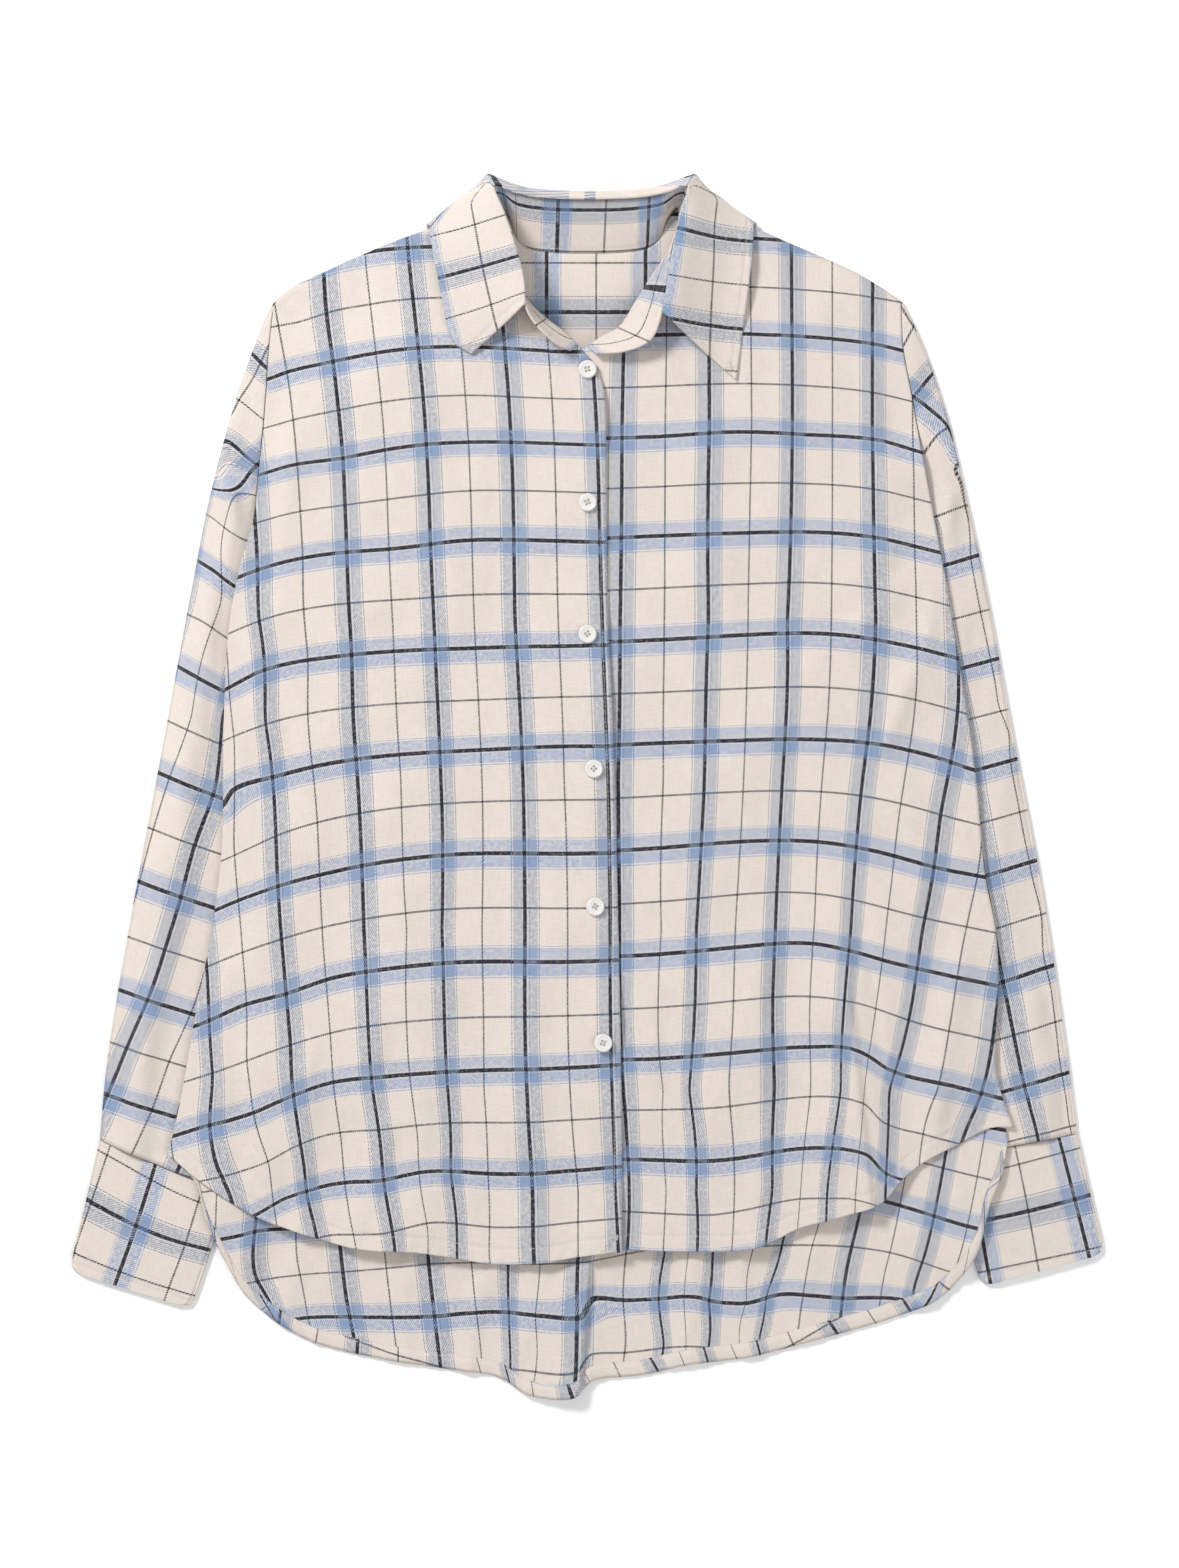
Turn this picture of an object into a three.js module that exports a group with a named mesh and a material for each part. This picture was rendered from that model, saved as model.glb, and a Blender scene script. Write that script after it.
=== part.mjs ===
// A flannel shirt with a button front, laid on its back on a flat surface.
// Millimetres. +X is to the viewer's right, +Y towards the collar, +Z up, off the surface.
// The origin is on the surface, under the middle of the shirt as it lies.
// "Right" and "left" in a piece's name are the wearer's: the right front is at -X and laps over the left.

import * as THREE from 'three';

// Cloth walls and the play that sewn and lapped pieces keep.
const CLOTH = 1.2;
const DOUBLED = 1.6;
const SEAM_GAP = 0.3;
const LAP_GAP = 0.6;

// Heights of the laid layers.
const SLEEVE_EDGE = 2.9;
const SLEEVE_BULGE = 2.9;
const BACK_OVER_SLEEVE = 6.7;
const YOKE_OVER_COLLAR = 3;
const COLLAR_BELOW_FROM_Y = 296;
const COLLAR_BELOW_EASE = 26;
const COLLAR_BELOW_HALF_WIDTH = 151;
const COLLAR_BELOW_SIDE_EASE = 45;
const FRONT_RISE = 10.6;
const FRONT_RISE_AT_HEM = 7.4;
const LEAST_HOLLOW = 1.2;
const HEM_EASE_FROM = -170;
const HEM_EASE = 110;
const RISE_FROM_SIDE = 75;
const RISE_FROM_SHOULDER = 80;
const FOLDS_FROM_SIDE = 26;

// The armhole, where the sleeve holds the front and the back apart.
const ARMHOLE_TOP = 308;
const ARMHOLE_FOOT = 176;
const ARMHOLE_EASE = 40;
const ARMHOLE_OPEN = 2.6;
const SLEEVE_OFF_BODY = 0.5;

// The front closing.
const LAP_RAMP_FROM = -62;
const LAP_RAMP_TO = -24;
const LAP_UNDER_EDGE = -15;
const BUTTON_DIAMETER = 11.5;
const BUTTON_THICKNESS = 2.4;
const BUTTON_RIM = 0.5;

// Where the yoke is sewn to the back.
const YOKE_SEAM_Y = 246;

const COLOURS = {
  cloth: 0xe6dcd4,
  inside: 0xdfd4cb,
  collar: 0xe9dfd6,
  button: 0xf1efe9,
};

// Outlines, corner by corner, as [x, y].
const RIGHT_SHOULDER = [
  [-200, 310], [-188, 320], [-171, 328], [-148, 338.5], [-124, 348.5], [-100, 357], [-57, 371],
];
const LEFT_SHOULDER = [
  [202, 311], [191, 318.5], [175, 328], [153, 338.5], [129, 348.5], [107, 357.5], [60, 371],
];

const RIGHT_SIDE = [
  [-200, 310], [-203, 281], [-205, 250], [-208, 213], [-213, 170], [-222, 138], [-229, 96], [-232, 30],
  [-233, -40], [-240, -95], [-250, -147], [-257, -188], [-264, -222], [-268, -235],
];
const LEFT_SIDE = [
  [202, 311], [203, 281], [209, 248], [215, 213], [221, 180], [229, 138], [236, 96], [244, 46],
  [250, 0], [255, -55], [262, -92], [264, -127], [262, -163], [264, -190], [273, -218],
];

const RIGHT_NECK = [
  [-57, 371], [-56.5, 362], [-54, 350], [-50, 337], [-44, 322], [-36, 309], [-26, 299.5], [-15, 291],
  [-5, 281.5], [7, 268],
];
const LEFT_NECK = [
  [60, 371], [59, 362], [55.5, 350], [48.5, 336], [39, 322], [31, 309], [21.5, 294], [10, 287.5], [0, 281],
  [-15, 276],
];
const BACK_NECK = [
  [-57, 371], [-49, 363], [-44.5, 351], [-36, 344.5], [-20, 342], [0, 341.5], [22, 342], [38, 344.5],
  [47, 351], [52, 363], [60, 371],
];

const LAP_EDGE = [[7, 268], [12, 250], [13, 202], [14, 106], [17, 42], [20, -60], [23, -220], [23, -298]];
const RIGHT_HEM = [
  [-268, -235], [-248, -252], [-212, -275], [-186, -285], [-148, -296], [-105, -299],
  [-60, -306], [-28, -305], [-4, -301], [23, -298],
];
const LEFT_HEM = [
  [273, -218], [258, -219], [237, -230], [219, -239], [202, -252], [190, -266],
  [159, -277], [137, -283], [111, -295], [74, -298], [27, -297], [-15, -298],
];
const BACK_HEM = [
  [-263, -238], [-250, -254], [-243, -279], [-232, -303], [-216, -329], [-179, -355], [-134, -367],
  [-92, -373.5], [-54, -380], [-37, -390.5], [-8, -392], [4, -382], [36, -378], [68, -371], [102, -367],
  [149, -355], [195, -342], [226, -329], [241, -314], [252, -295], [258, -270], [266, -250], [270, -226],
];

// The sleeves, from the shoulder point or the underarm down to the cuff.
const RIGHT_SLEEVE_OUTER = [
  [-200.5, 311], [-207, 298], [-212, 285], [-221, 260], [-229, 234], [-242, 183], [-252, 132],
  [-271, 29], [-290, -73], [-307, -175], [-312, -227],
];
const RIGHT_SLEEVE_INNER = [
  [-213.6, 168], [-204, 150], [-168, 117], [-138, 78], [-128, 30], [-138, -40], [-156, -110],
  [-188, -180], [-228, -262],
];
const LEFT_SLEEVE_OUTER = [
  [203, 311.5], [210, 298], [216, 285], [225, 260], [233, 234], [245, 183], [256, 132],
  [275, 29], [294, -73], [309, -175], [315, -223],
];
const LEFT_SLEEVE_INNER = [
  [222.6, 175], [213, 154], [176, 120], [146, 80], [136, 30], [146, -40], [164, -110],
  [195, -172], [232, -238],
];
const CUFF_ROUNDING = 6;
const RIGHT_CUFF = {
  outerTop: [-312, -227], innerTop: [-228, -262], innerEnd: [-254, -335], outerEnd: [-331, -311],
};
const LEFT_CUFF = {
  outerTop: [315, -223], innerTop: [232, -238], innerEnd: [254, -321], outerEnd: [332, -300],
};

// Soft folds of the fronts: a ridge (height above 0) or trough (below 0) along a line.
const FRONT_FOLDS = [
  { from: [-205, -60], to: [-216, -268], height: 2.4, width: 17 },
  { from: [-158, -40], to: [-162, -292], height: -2.0, width: 18 },
  { from: [-118, 20], to: [-108, -300], height: 1.7, width: 19 },
  { from: [-70, -90], to: [-60, -306], height: -1.5, width: 17 },
  { from: [80, -40], to: [86, -298], height: 1.6, width: 18 },
  { from: [128, -10], to: [132, -288], height: -1.9, width: 17 },
  { from: [163, -90], to: [186, -262], height: 3.4, width: 15 },
  { from: [205, -150], to: [212, -242], height: -1.8, width: 15 },
  { from: [-200, 150], to: [-120, 60], height: 1.5, width: 20 },
  { from: [205, 150], to: [130, 60], height: 1.5, width: 20 },
];

// Soft folds of the tail, which lies on the surface between them.
const TAIL_FOLDS = [
  { from: [-184, -300], to: [-196, -352], height: 2.2, width: 12 },
  { from: [-110, -308], to: [-118, -372], height: 1.6, width: 13 },
  { from: [-10, -285], to: [-12, -392], height: 4.2, width: 11 },
  { from: [66, -300], to: [70, -372], height: 2.6, width: 11 },
  { from: [138, -296], to: [146, -358], height: 1.6, width: 12 },
  { from: [206, -280], to: [222, -330], height: 2.2, width: 11 },
];

// How far in from the side the back starts to climb over each sleeve, and how high it gets there.
const CLIMB = [
  { y: 246, right: -206, left: 209, height: 0 },
  { y: 205, right: -155, left: 163, height: 0.9 },
  { y: 172, right: -130, left: 138, height: 1 },
  { y: 120, right: -105, left: 113, height: 1 },
  { y: 60, right: -82, left: 90, height: 1 },
  { y: 0, right: -76, left: 84, height: 1 },
  { y: -60, right: -88, left: 96, height: 1 },
  { y: -120, right: -112, left: 122, height: 1 },
  { y: -180, right: -142, left: 152, height: 1 },
  { y: -235, right: -174, left: 182, height: 1 },
  { y: -262, right: -178, left: 187, height: 1 },
  { y: -300, right: -186, left: 195, height: 0.85 },
  { y: -345, right: -200, left: 212, height: 0 },
];
const CLIMB_WIDTH = 58;

// The collar stand, from its end on the right front, round the back, to its end on the left front.
// Its foot stands on the neck edge, and its head, at the height given, is where the collar turns over.
const STAND = [
  { foot: [-6, 282.5], head: [-9.5, 277.5], height: 20 },
  { foot: [-15, 291], head: [-19.5, 282], height: 28 },
  { foot: [-26, 299.5], head: [-32, 294], height: 32 },
  { foot: [-36, 309], head: [-38, 306], height: 34 },
  { foot: [-44, 322], head: [-39, 323], height: 33 },
  { foot: [-50, 337], head: [-44.5, 344], height: 31 },
  { foot: [-54, 350], head: [-50, 361], height: 28.5 },
  { foot: [-56.5, 362], head: [-55, 373], height: 26.5 },
  { foot: [-55, 370.5], head: [-58.5, 381], height: 25 },
  { foot: [-49, 363], head: [-53, 381.5], height: 22.5 },
  { foot: [-44.5, 351], head: [-45, 377.5], height: 20 },
  { foot: [-36, 344.5], head: [-35, 375.5], height: 18.5 },
  { foot: [-20, 342], head: [-19, 374.3], height: 17 },
  { foot: [0, 341.5], head: [2, 374], height: 16.5 },
  { foot: [22, 342], head: [23, 374.3], height: 17 },
  { foot: [38, 344.5], head: [39, 375.5], height: 18.5 },
  { foot: [47, 351], head: [50, 377.5], height: 20 },
  { foot: [52, 363], head: [59, 381.5], height: 22.5 },
  { foot: [58, 370.5], head: [65, 380.5], height: 25 },
  { foot: [59, 362], head: [61.5, 370], height: 26 },
  { foot: [55.5, 350], head: [58, 357], height: 27.5 },
  { foot: [48.5, 336], head: [54, 341], height: 29.5 },
  { foot: [39, 322], head: [51, 320], height: 30.5 },
  { foot: [31, 309], head: [48, 301], height: 30.5 },
  { foot: [21.5, 294], head: [41, 284], height: 28 },
  { foot: [10, 287.5], head: [25, 277], height: 23 },
  { foot: [1, 281], head: [6, 276], height: 19 },
];
const NECK_POINT_RIGHT = 8;
const NECK_POINT_LEFT = 18;

// The collar's loose edge, against the stand's stations. Over the fronts it lies on them, behind the
// neck it lies on the surface under the yoke, and at the shoulders it goes round them by three points.
const COLLAR = [
  { at: 3, edge: [-73.5, 275.5, 15.2] },
  { at: 4, edge: [-86, 286, 15.2] },
  { at: 5, edge: [-93, 316, 15.2] },
  { at: 6.4, edge: [-98, 342, 13.5] },
  { at: 7.6, edge: [-100.5, 358.8, 7.4], round: [[-63.5, 380, 24], [-77, 376, 14.5], [-91, 366.5, 9]] },
  { at: 8.2, edge: [-102.3, 358.8, 1.6], round: [[-63, 389, 20], [-73, 381.5, 9], [-89, 370, 3.5]] },
  { at: 8.9, edge: [-94, 347, 0], round: [[-60, 390.3, 17], [-63, 387, 6.5], [-73, 376.5, 0.6]] },
  { at: 10, edge: [-66, 338, 0] },
  { at: 11.5, edge: [-32, 330, 0] },
  { at: 13, edge: [1, 328, 0] },
  { at: 14.5, edge: [36, 330, 0] },
  { at: 16, edge: [72, 338, 0] },
  { at: 17.1, edge: [101, 347, 0], round: [[66.5, 390.3, 17], [69.5, 387, 6.5], [79, 376.5, 0.6]] },
  { at: 17.8, edge: [109.6, 359.2, 1.6], round: [[70, 389, 20], [80, 381, 9], [95.5, 369.5, 3.5]] },
  { at: 18.4, edge: [107.7, 359, 7.6], round: [[70.5, 379, 24], [84, 375, 14.5], [98, 366, 9]] },
  { at: 19.6, edge: [106.5, 340, 13.5] },
  { at: 21, edge: [103, 311, 15.2] },
  { at: 22, edge: [99.5, 285, 15.2] },
  { at: 23, edge: [96, 259, 15.2] },
];
const COLLAR_ROLL = 5;
const COLLAR_ABOVE_FLAT = 4.3;
const COLLAR_ABOVE_UPRIGHT = 2;

// Buttons down the middle, as [x, y].
const BUTTONS = [[1, 266], [1, 181], [1, 97], [5, 11], [6, -77], [11, -164]];

// 0 up to 1 with level ends.
function ease(t) {
  const clamped = Math.min(1, Math.max(0, t));
  return clamped * clamped * (3 - 2 * clamped);
}

function mix(a, b, t) {
  return a + (b - a) * t;
}

// A smooth line through the given points, walked from 0 to 1.
function line(points) {
  const stops = points.map(([x, y]) => new THREE.Vector3(x, y, 0));
  const curve = new THREE.CatmullRomCurve3(stops, false, 'centripetal');
  curve.arcLengthDivisions = 400;
  return (t) => curve.getPointAt(Math.min(1, Math.max(0, t)));
}

// Several lines end to end; each takes its share of the 0 to 1 walk.
function chain(lines, shares) {
  return (t) => {
    let start = 0;
    for (let i = 0; i < lines.length; i += 1) {
      const end = start + shares[i];
      if (t <= end + 1e-9 || i === lines.length - 1) {
        return lines[i]((t - start) / shares[i]);
      }
      start = end;
    }
    return lines[0](0);
  };
}

function reversed(walk) {
  return (t) => walk(1 - t);
}

// A patch spanned by four edge lines; s runs from side a to side b, t from the top to the bottom.
function patch(top, bottom, a, b) {
  const corners = [top(0), top(1), bottom(0), bottom(1)];
  return (s, t) => {
    const across = a(t).multiplyScalar(1 - s).add(b(t).multiplyScalar(s));
    const along = top(s).multiplyScalar(1 - t).add(bottom(s).multiplyScalar(t));
    const flat = new THREE.Vector3()
      .addScaledVector(corners[0], (1 - s) * (1 - t))
      .addScaledVector(corners[1], s * (1 - t))
      .addScaledVector(corners[2], (1 - s) * t)
      .addScaledVector(corners[3], s * t);
    return across.add(along).sub(flat);
  };
}

// Steps from 0 to 1 in equal parts.
function steps(count) {
  return Array.from({ length: count + 1 }, (_, i) => i / count);
}

// The value of one column of a table at y, straight from row to row; rows run downwards in y.
function column(table, name, y) {
  if (y >= table[0].y) {
    return table[0][name];
  }
  for (let i = 1; i < table.length; i += 1) {
    if (y >= table[i].y) {
      const t = (table[i - 1].y - y) / (table[i - 1].y - table[i].y);
      return mix(table[i - 1][name], table[i][name], t);
    }
  }
  return table[table.length - 1][name];
}

// The height that a list of folds adds at a point: a bell across each fold, fading at its two ends.
function foldHeight(folds, x, y) {
  const FADE = 0.3;
  const BEYOND_END = 1.3;
  let height = 0;
  for (const fold of folds) {
    const dx = fold.to[0] - fold.from[0];
    const dy = fold.to[1] - fold.from[1];
    const length = Math.hypot(dx, dy);
    const along = ((x - fold.from[0]) * dx + (y - fold.from[1]) * dy) / (length * length);
    const across = ((x - fold.from[0]) * dy - (y - fold.from[1]) * dx) / length;
    const reach = ease(along / FADE + 0.5) * ease((BEYOND_END - along) / FADE);
    height += fold.height * reach * Math.exp(-((across / fold.width) ** 2));
  }
  return height;
}

// Underside of the back and yoke: on the surface in the middle, over the sleeves at the sides,
// over the turned-down collar at the neck, and in soft folds at the tail.
function backUnder(x, y) {
  const overRight = ease((column(CLIMB, 'right', y) - x) / CLIMB_WIDTH);
  const overLeft = ease((x - column(CLIMB, 'left', y)) / CLIMB_WIDTH);
  const overSleeve = BACK_OVER_SLEEVE * column(CLIMB, 'height', y) * Math.max(overRight, overLeft);
  const nearNeck = ease((y - COLLAR_BELOW_FROM_Y) / COLLAR_BELOW_EASE);
  const nearMiddle = ease((COLLAR_BELOW_HALF_WIDTH - Math.abs(x)) / COLLAR_BELOW_SIDE_EASE);
  const overCollar = YOKE_OVER_COLLAR * nearNeck * nearMiddle;
  return overSleeve + overCollar + Math.max(0, foldHeight(TAIL_FOLDS, x, y));
}

function backTop(x, y) {
  return backUnder(x, y) + CLOTH;
}

const sideTables = {
  right: RIGHT_SIDE.map(([x, y]) => ({ y, x })),
  left: LEFT_SIDE.map(([x, y]) => ({ y, x })),
};

// The shoulder line's y at x; inside the neck it stays above the neck point.
function shoulderHeight(x) {
  const NECK_POINT_REACH = 12;
  const points = x < 0 ? RIGHT_SHOULDER : LEFT_SHOULDER;
  const reach = Math.abs(x);
  for (let i = 1; i < points.length; i += 1) {
    if (reach >= Math.abs(points[i][0])) {
      const t = (Math.abs(points[i - 1][0]) - reach) / (Math.abs(points[i - 1][0]) - Math.abs(points[i][0]));
      return mix(points[i - 1][1], points[i][1], Math.max(0, t));
    }
  }
  return points[points.length - 1][1] + NECK_POINT_REACH;
}

// Underside of the fronts: close on the back along the side and shoulder seams, held apart by the
// armhole beside the sleeve, and standing off the back over the chest and belly.
function frontUnder(x, y) {
  const side = x < 0 ? x - column(sideTables.right, 'x', y) : column(sideTables.left, 'x', y) - x;
  const shoulder = shoulderHeight(x) - y;
  const base = backTop(x, y);
  const besideArmhole = ease((ARMHOLE_TOP - y) / ARMHOLE_EASE) * ease((y - ARMHOLE_FOOT) / ARMHOLE_EASE);
  const open = ARMHOLE_OPEN * besideArmhole * ease(1 - side / RISE_FROM_SIDE);
  const inward = ease(side / RISE_FROM_SIDE) * ease(shoulder / RISE_FROM_SHOULDER);
  const rise = mix(FRONT_RISE, FRONT_RISE_AT_HEM, ease((HEM_EASE_FROM - y) / HEM_EASE));
  const hollow = Math.max(LEAST_HOLLOW, rise - base);
  const folds = foldHeight(FRONT_FOLDS, x, y) * ease(side / FOLDS_FROM_SIDE);
  const lift = inward * Math.max(LAP_GAP, hollow + folds);
  return base + SEAM_GAP * (1 + ease(side / FOLDS_FROM_SIDE)) + open + lift;
}

// The right front lies on the left one along the closing.
function rightFrontUnder(x, y) {
  return frontUnder(x, y) + (CLOTH + LAP_GAP) * ease((x - LAP_RAMP_FROM) / (LAP_RAMP_TO - LAP_RAMP_FROM));
}

function rightFrontTop(x, y) {
  return rightFrontUnder(x, y) + CLOTH;
}

// A closed wall between two grids of points of the same size, outer facing out. With `round` true the
// rows close on themselves, which makes a tube that is open at its two ends.
function wallBetween(outer, inner, round = false) {
  const rows = outer.length;
  const cols = outer[0].length;
  const positions = [outer, inner].flat(2).flatMap((p) => [p.x, p.y, p.z]);
  const out = (i, j) => i * cols + (j % cols);
  const inn = (i, j) => rows * cols + out(i, j);
  const faces = [];
  const quad = (a, b, c, d) => faces.push(a, b, c, a, c, d);
  const spans = round ? cols : cols - 1;
  for (let j = 0; j < spans; j += 1) {
    for (let i = 0; i < rows - 1; i += 1) {
      quad(out(i, j), out(i + 1, j), out(i + 1, j + 1), out(i, j + 1));
      quad(inn(i, j), inn(i, j + 1), inn(i + 1, j + 1), inn(i + 1, j));
    }
    quad(out(0, j), out(0, j + 1), inn(0, j + 1), inn(0, j));
    quad(out(rows - 1, j), inn(rows - 1, j), inn(rows - 1, j + 1), out(rows - 1, j + 1));
  }
  if (!round) {
    for (let i = 0; i < rows - 1; i += 1) {
      quad(out(i, 0), inn(i, 0), inn(i + 1, 0), out(i + 1, 0));
      quad(out(i, spans), out(i + 1, spans), inn(i + 1, spans), inn(i, spans));
    }
  }
  return solid(positions, faces);
}

// A geometry from points and faces, turned over if its volume comes out negative.
function solid(positions, faces) {
  const point = (i) => new THREE.Vector3(positions[3 * i], positions[3 * i + 1], positions[3 * i + 2]);
  let volume = 0;
  for (let f = 0; f < faces.length; f += 3) {
    volume += point(faces[f]).dot(point(faces[f + 1]).cross(point(faces[f + 2])));
  }
  const turned = [];
  for (let f = 0; f < faces.length; f += 3) {
    turned.push(faces[f], faces[f + (volume < 0 ? 2 : 1)], faces[f + (volume < 0 ? 1 : 2)]);
  }
  const geometry = new THREE.BufferGeometry();
  geometry.setAttribute('position', new THREE.Float32BufferAttribute(positions, 3));
  geometry.setIndex(turned);
  geometry.computeVertexNormals();
  return geometry;
}

const shirt = new THREE.Group();

function add(name, geometry, colour, roughness = 0.95) {
  const material = new THREE.MeshStandardMaterial({ color: colour, roughness, metalness: 0 });
  const mesh = new THREE.Mesh(geometry, material);
  mesh.name = name;
  shirt.add(mesh);
}

// A panel: its outline patch, lying at the height that the function gives for its underside.
function panel(outline, across, down, under, thickness) {
  const upper = down.map((t) => across.map((s) => {
    const p = outline(s, t);
    return new THREE.Vector3(p.x, p.y, under(p.x, p.y) + thickness);
  }));
  const lower = upper.map((row) => row.map((p) => new THREE.Vector3(p.x, p.y, p.z - thickness)));
  return wallBetween(upper, lower);
}

// The same points moved along x and y by a small step, to part two edges.
function shifted(points, dx, dy) {
  return points.map(([x, y]) => [x + dx, y + dy]);
}

// Fronts: the right one's neck edge ends at the lap, the left one runs on under it.
const SHOULDER_STEPS = 11;
const NECK_STEPS = 7;
const FRONT_ROWS = 24;

function front(side, shoulder, neck, closing, hem, under) {
  const share = SHOULDER_STEPS / (SHOULDER_STEPS + NECK_STEPS);
  const top = chain([line(shoulder), line(neck)], [share, 1 - share]);
  const outline = patch(top, line(hem), line(side), line(closing));
  return panel(outline, steps(SHOULDER_STEPS + NECK_STEPS), steps(FRONT_ROWS), under, CLOTH);
}

const underLap = [276, 100, -100, -298].map((y) => [LAP_UNDER_EDGE, y]);
const frontRight = front(RIGHT_SIDE, RIGHT_SHOULDER, RIGHT_NECK, LAP_EDGE, RIGHT_HEM, rightFrontUnder);
const frontLeft = front(LEFT_SIDE, LEFT_SHOULDER, LEFT_NECK, underLap, LEFT_HEM, frontUnder);
add('front_right', frontRight, COLOURS.cloth);
add('front_left', frontLeft, COLOURS.cloth);

// Back and yoke, a seam's gap apart.
const BACK_COLUMNS = 30;
const BACK_ROWS = 17;
const BACK_INSET = 1;

// The side of the back: from the yoke seam's end, down a front's side, to the tail's corner.
function backSide(frontSide, seamEnd, tailEnd) {
  const CLEAR_OF_SEAM = 8;
  const below = frontSide.filter(([, y]) => y < YOKE_SEAM_Y - CLEAR_OF_SEAM);
  return [seamEnd, ...below.slice(0, -1), tailEnd];
}

const yokeSeam = [-205.3, -100, 0, 100, 209.3].map((x) => [x, YOKE_SEAM_Y]);
const backRightSide = backSide(RIGHT_SIDE, yokeSeam[0], BACK_HEM[0]);
const backLeftSide = backSide(LEFT_SIDE, yokeSeam[4], BACK_HEM[BACK_HEM.length - 1]);
const backOutline = patch(
  line(shifted(yokeSeam, 0, -SEAM_GAP / 2)),
  line(BACK_HEM),
  line(shifted(backRightSide, BACK_INSET, 0)),
  line(shifted(backLeftSide, -BACK_INSET, 0)),
);
add('back', panel(backOutline, steps(BACK_COLUMNS), steps(BACK_ROWS), backUnder, CLOTH), COLOURS.inside);

// The yoke's columns: along one shoulder, round the neck, along the other shoulder.
const YOKE_COLUMNS = [7, 8, 7];
const YOKE_ROWS = 6;
const yokeSpan = YOKE_COLUMNS.reduce((sum, count) => sum + count);
const yokeTop = chain(
  [line(RIGHT_SHOULDER), line(BACK_NECK), reversed(line(LEFT_SHOULDER))],
  YOKE_COLUMNS.map((count) => count / yokeSpan),
);
const yokeFoot = shifted(yokeSeam, 0, SEAM_GAP / 2);
const yokeOutline = patch(
  yokeTop,
  line(yokeFoot),
  line([RIGHT_SHOULDER[0], RIGHT_SIDE[1], yokeFoot[0]]),
  line([LEFT_SHOULDER[0], LEFT_SIDE[1], yokeFoot[4]]),
);
add('yoke', panel(yokeOutline, steps(yokeSpan), steps(YOKE_ROWS), backUnder, CLOTH), COLOURS.inside);

// Sleeves: flattened tubes, open at the armhole and at the cuff.
const SLEEVE_ROWS = 18;
const TUBE_FRACTIONS = [0.02, 0.09, 0.25, 0.42, 0.58, 0.75, 0.91, 0.98];

// Top of a sleeve across its width: full at once behind the fold, fullest in the middle.
function sleeveTop(s) {
  return SLEEVE_EDGE + SLEEVE_BULGE * Math.sin(Math.PI * s) ** 0.8;
}

function flatTube(outline, rows, topOf, wall) {
  const outer = [];
  const inner = [];
  const inset = wall + SEAM_GAP;
  const turn = wall + SEAM_GAP / 2;
  for (const t of rows) {
    const ends = [outline(0, t), outline(1, t)];
    const across = ends[1].clone().sub(ends[0]).normalize();
    const place = (s, z, inwards) => {
      const p = outline(s, t).addScaledVector(across, inwards * mix(inset, -inset, s));
      return new THREE.Vector3(p.x, p.y, z);
    };
    const back = [...TUBE_FRACTIONS].reverse();
    outer.push([
      place(0, turn, 0), ...TUBE_FRACTIONS.map((s) => place(s, topOf(s), 0)),
      place(1, turn, 0), ...back.map((s) => place(s, 0, 0)),
    ]);
    inner.push([
      place(0, turn, 1), ...TUBE_FRACTIONS.map((s) => place(s, topOf(s) - wall, 1)),
      place(1, turn, 1), ...back.map((s) => place(s, wall, 1)),
    ]);
  }
  return wallBetween(outer, inner, true);
}

// The sleeve's outline: beside the body its rows keep along the armhole, and only the end at the
// underarm dives under the back.
function sleeveOutline(armhole, outerLine, innerLine, cuffLine) {
  const CROWDING = 7;
  const CROWDING_FADE = 4;
  const straight = (walk, t) => walk(0).lerp(walk(1), t);
  return (s, t) => {
    const dive = s ** (1 + CROWDING * (1 - t) ** CROWDING_FADE);
    const fromOuter = outerLine(t).sub(straight(outerLine, t));
    const fromInner = innerLine(t).sub(straight(innerLine, t));
    const ruled = armhole(s).lerp(cuffLine(s), t);
    return ruled.addScaledVector(fromOuter, 1 - dive).addScaledVector(fromInner, dive);
  };
}

function sleeve(side, away, outerPoints, innerPoints, corners) {
  const UNDERARM_Y = 160;
  const armhole = line(shifted(side.filter(([, y]) => y > UNDERARM_Y), away * SLEEVE_OFF_BODY, 0));
  const seam = line([corners.outerTop, corners.innerTop]);
  const outline = sleeveOutline(armhole, line(outerPoints), line(innerPoints), seam);
  return flatTube(outline, steps(SLEEVE_ROWS), sleeveTop, CLOTH);
}

const sleeveRight = sleeve(RIGHT_SIDE, -1, RIGHT_SLEEVE_OUTER, RIGHT_SLEEVE_INNER, RIGHT_CUFF);
const sleeveLeft = sleeve(LEFT_SIDE, 1, LEFT_SLEEVE_OUTER, LEFT_SLEEVE_INNER, LEFT_CUFF);
add('sleeve_right', sleeveRight, COLOURS.cloth);
add('sleeve_left', sleeveLeft, COLOURS.cloth);

// Cuffs: flat bands with rounded lower corners, a seam's gap below the sleeves.
const CUFF_HOLLOW = 0.45;
const CUFF_BULGE = 0.5;
const CUFF_BELOW_SLEEVE = 0.4;
const CUFF_ROWS = [0, 0.3, 0.6, 0.85, 0.91, 0.96, 1];

function cuffTop(s) {
  return 2 * DOUBLED + CUFF_HOLLOW + CUFF_BULGE * Math.sin(Math.PI * s);
}

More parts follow.
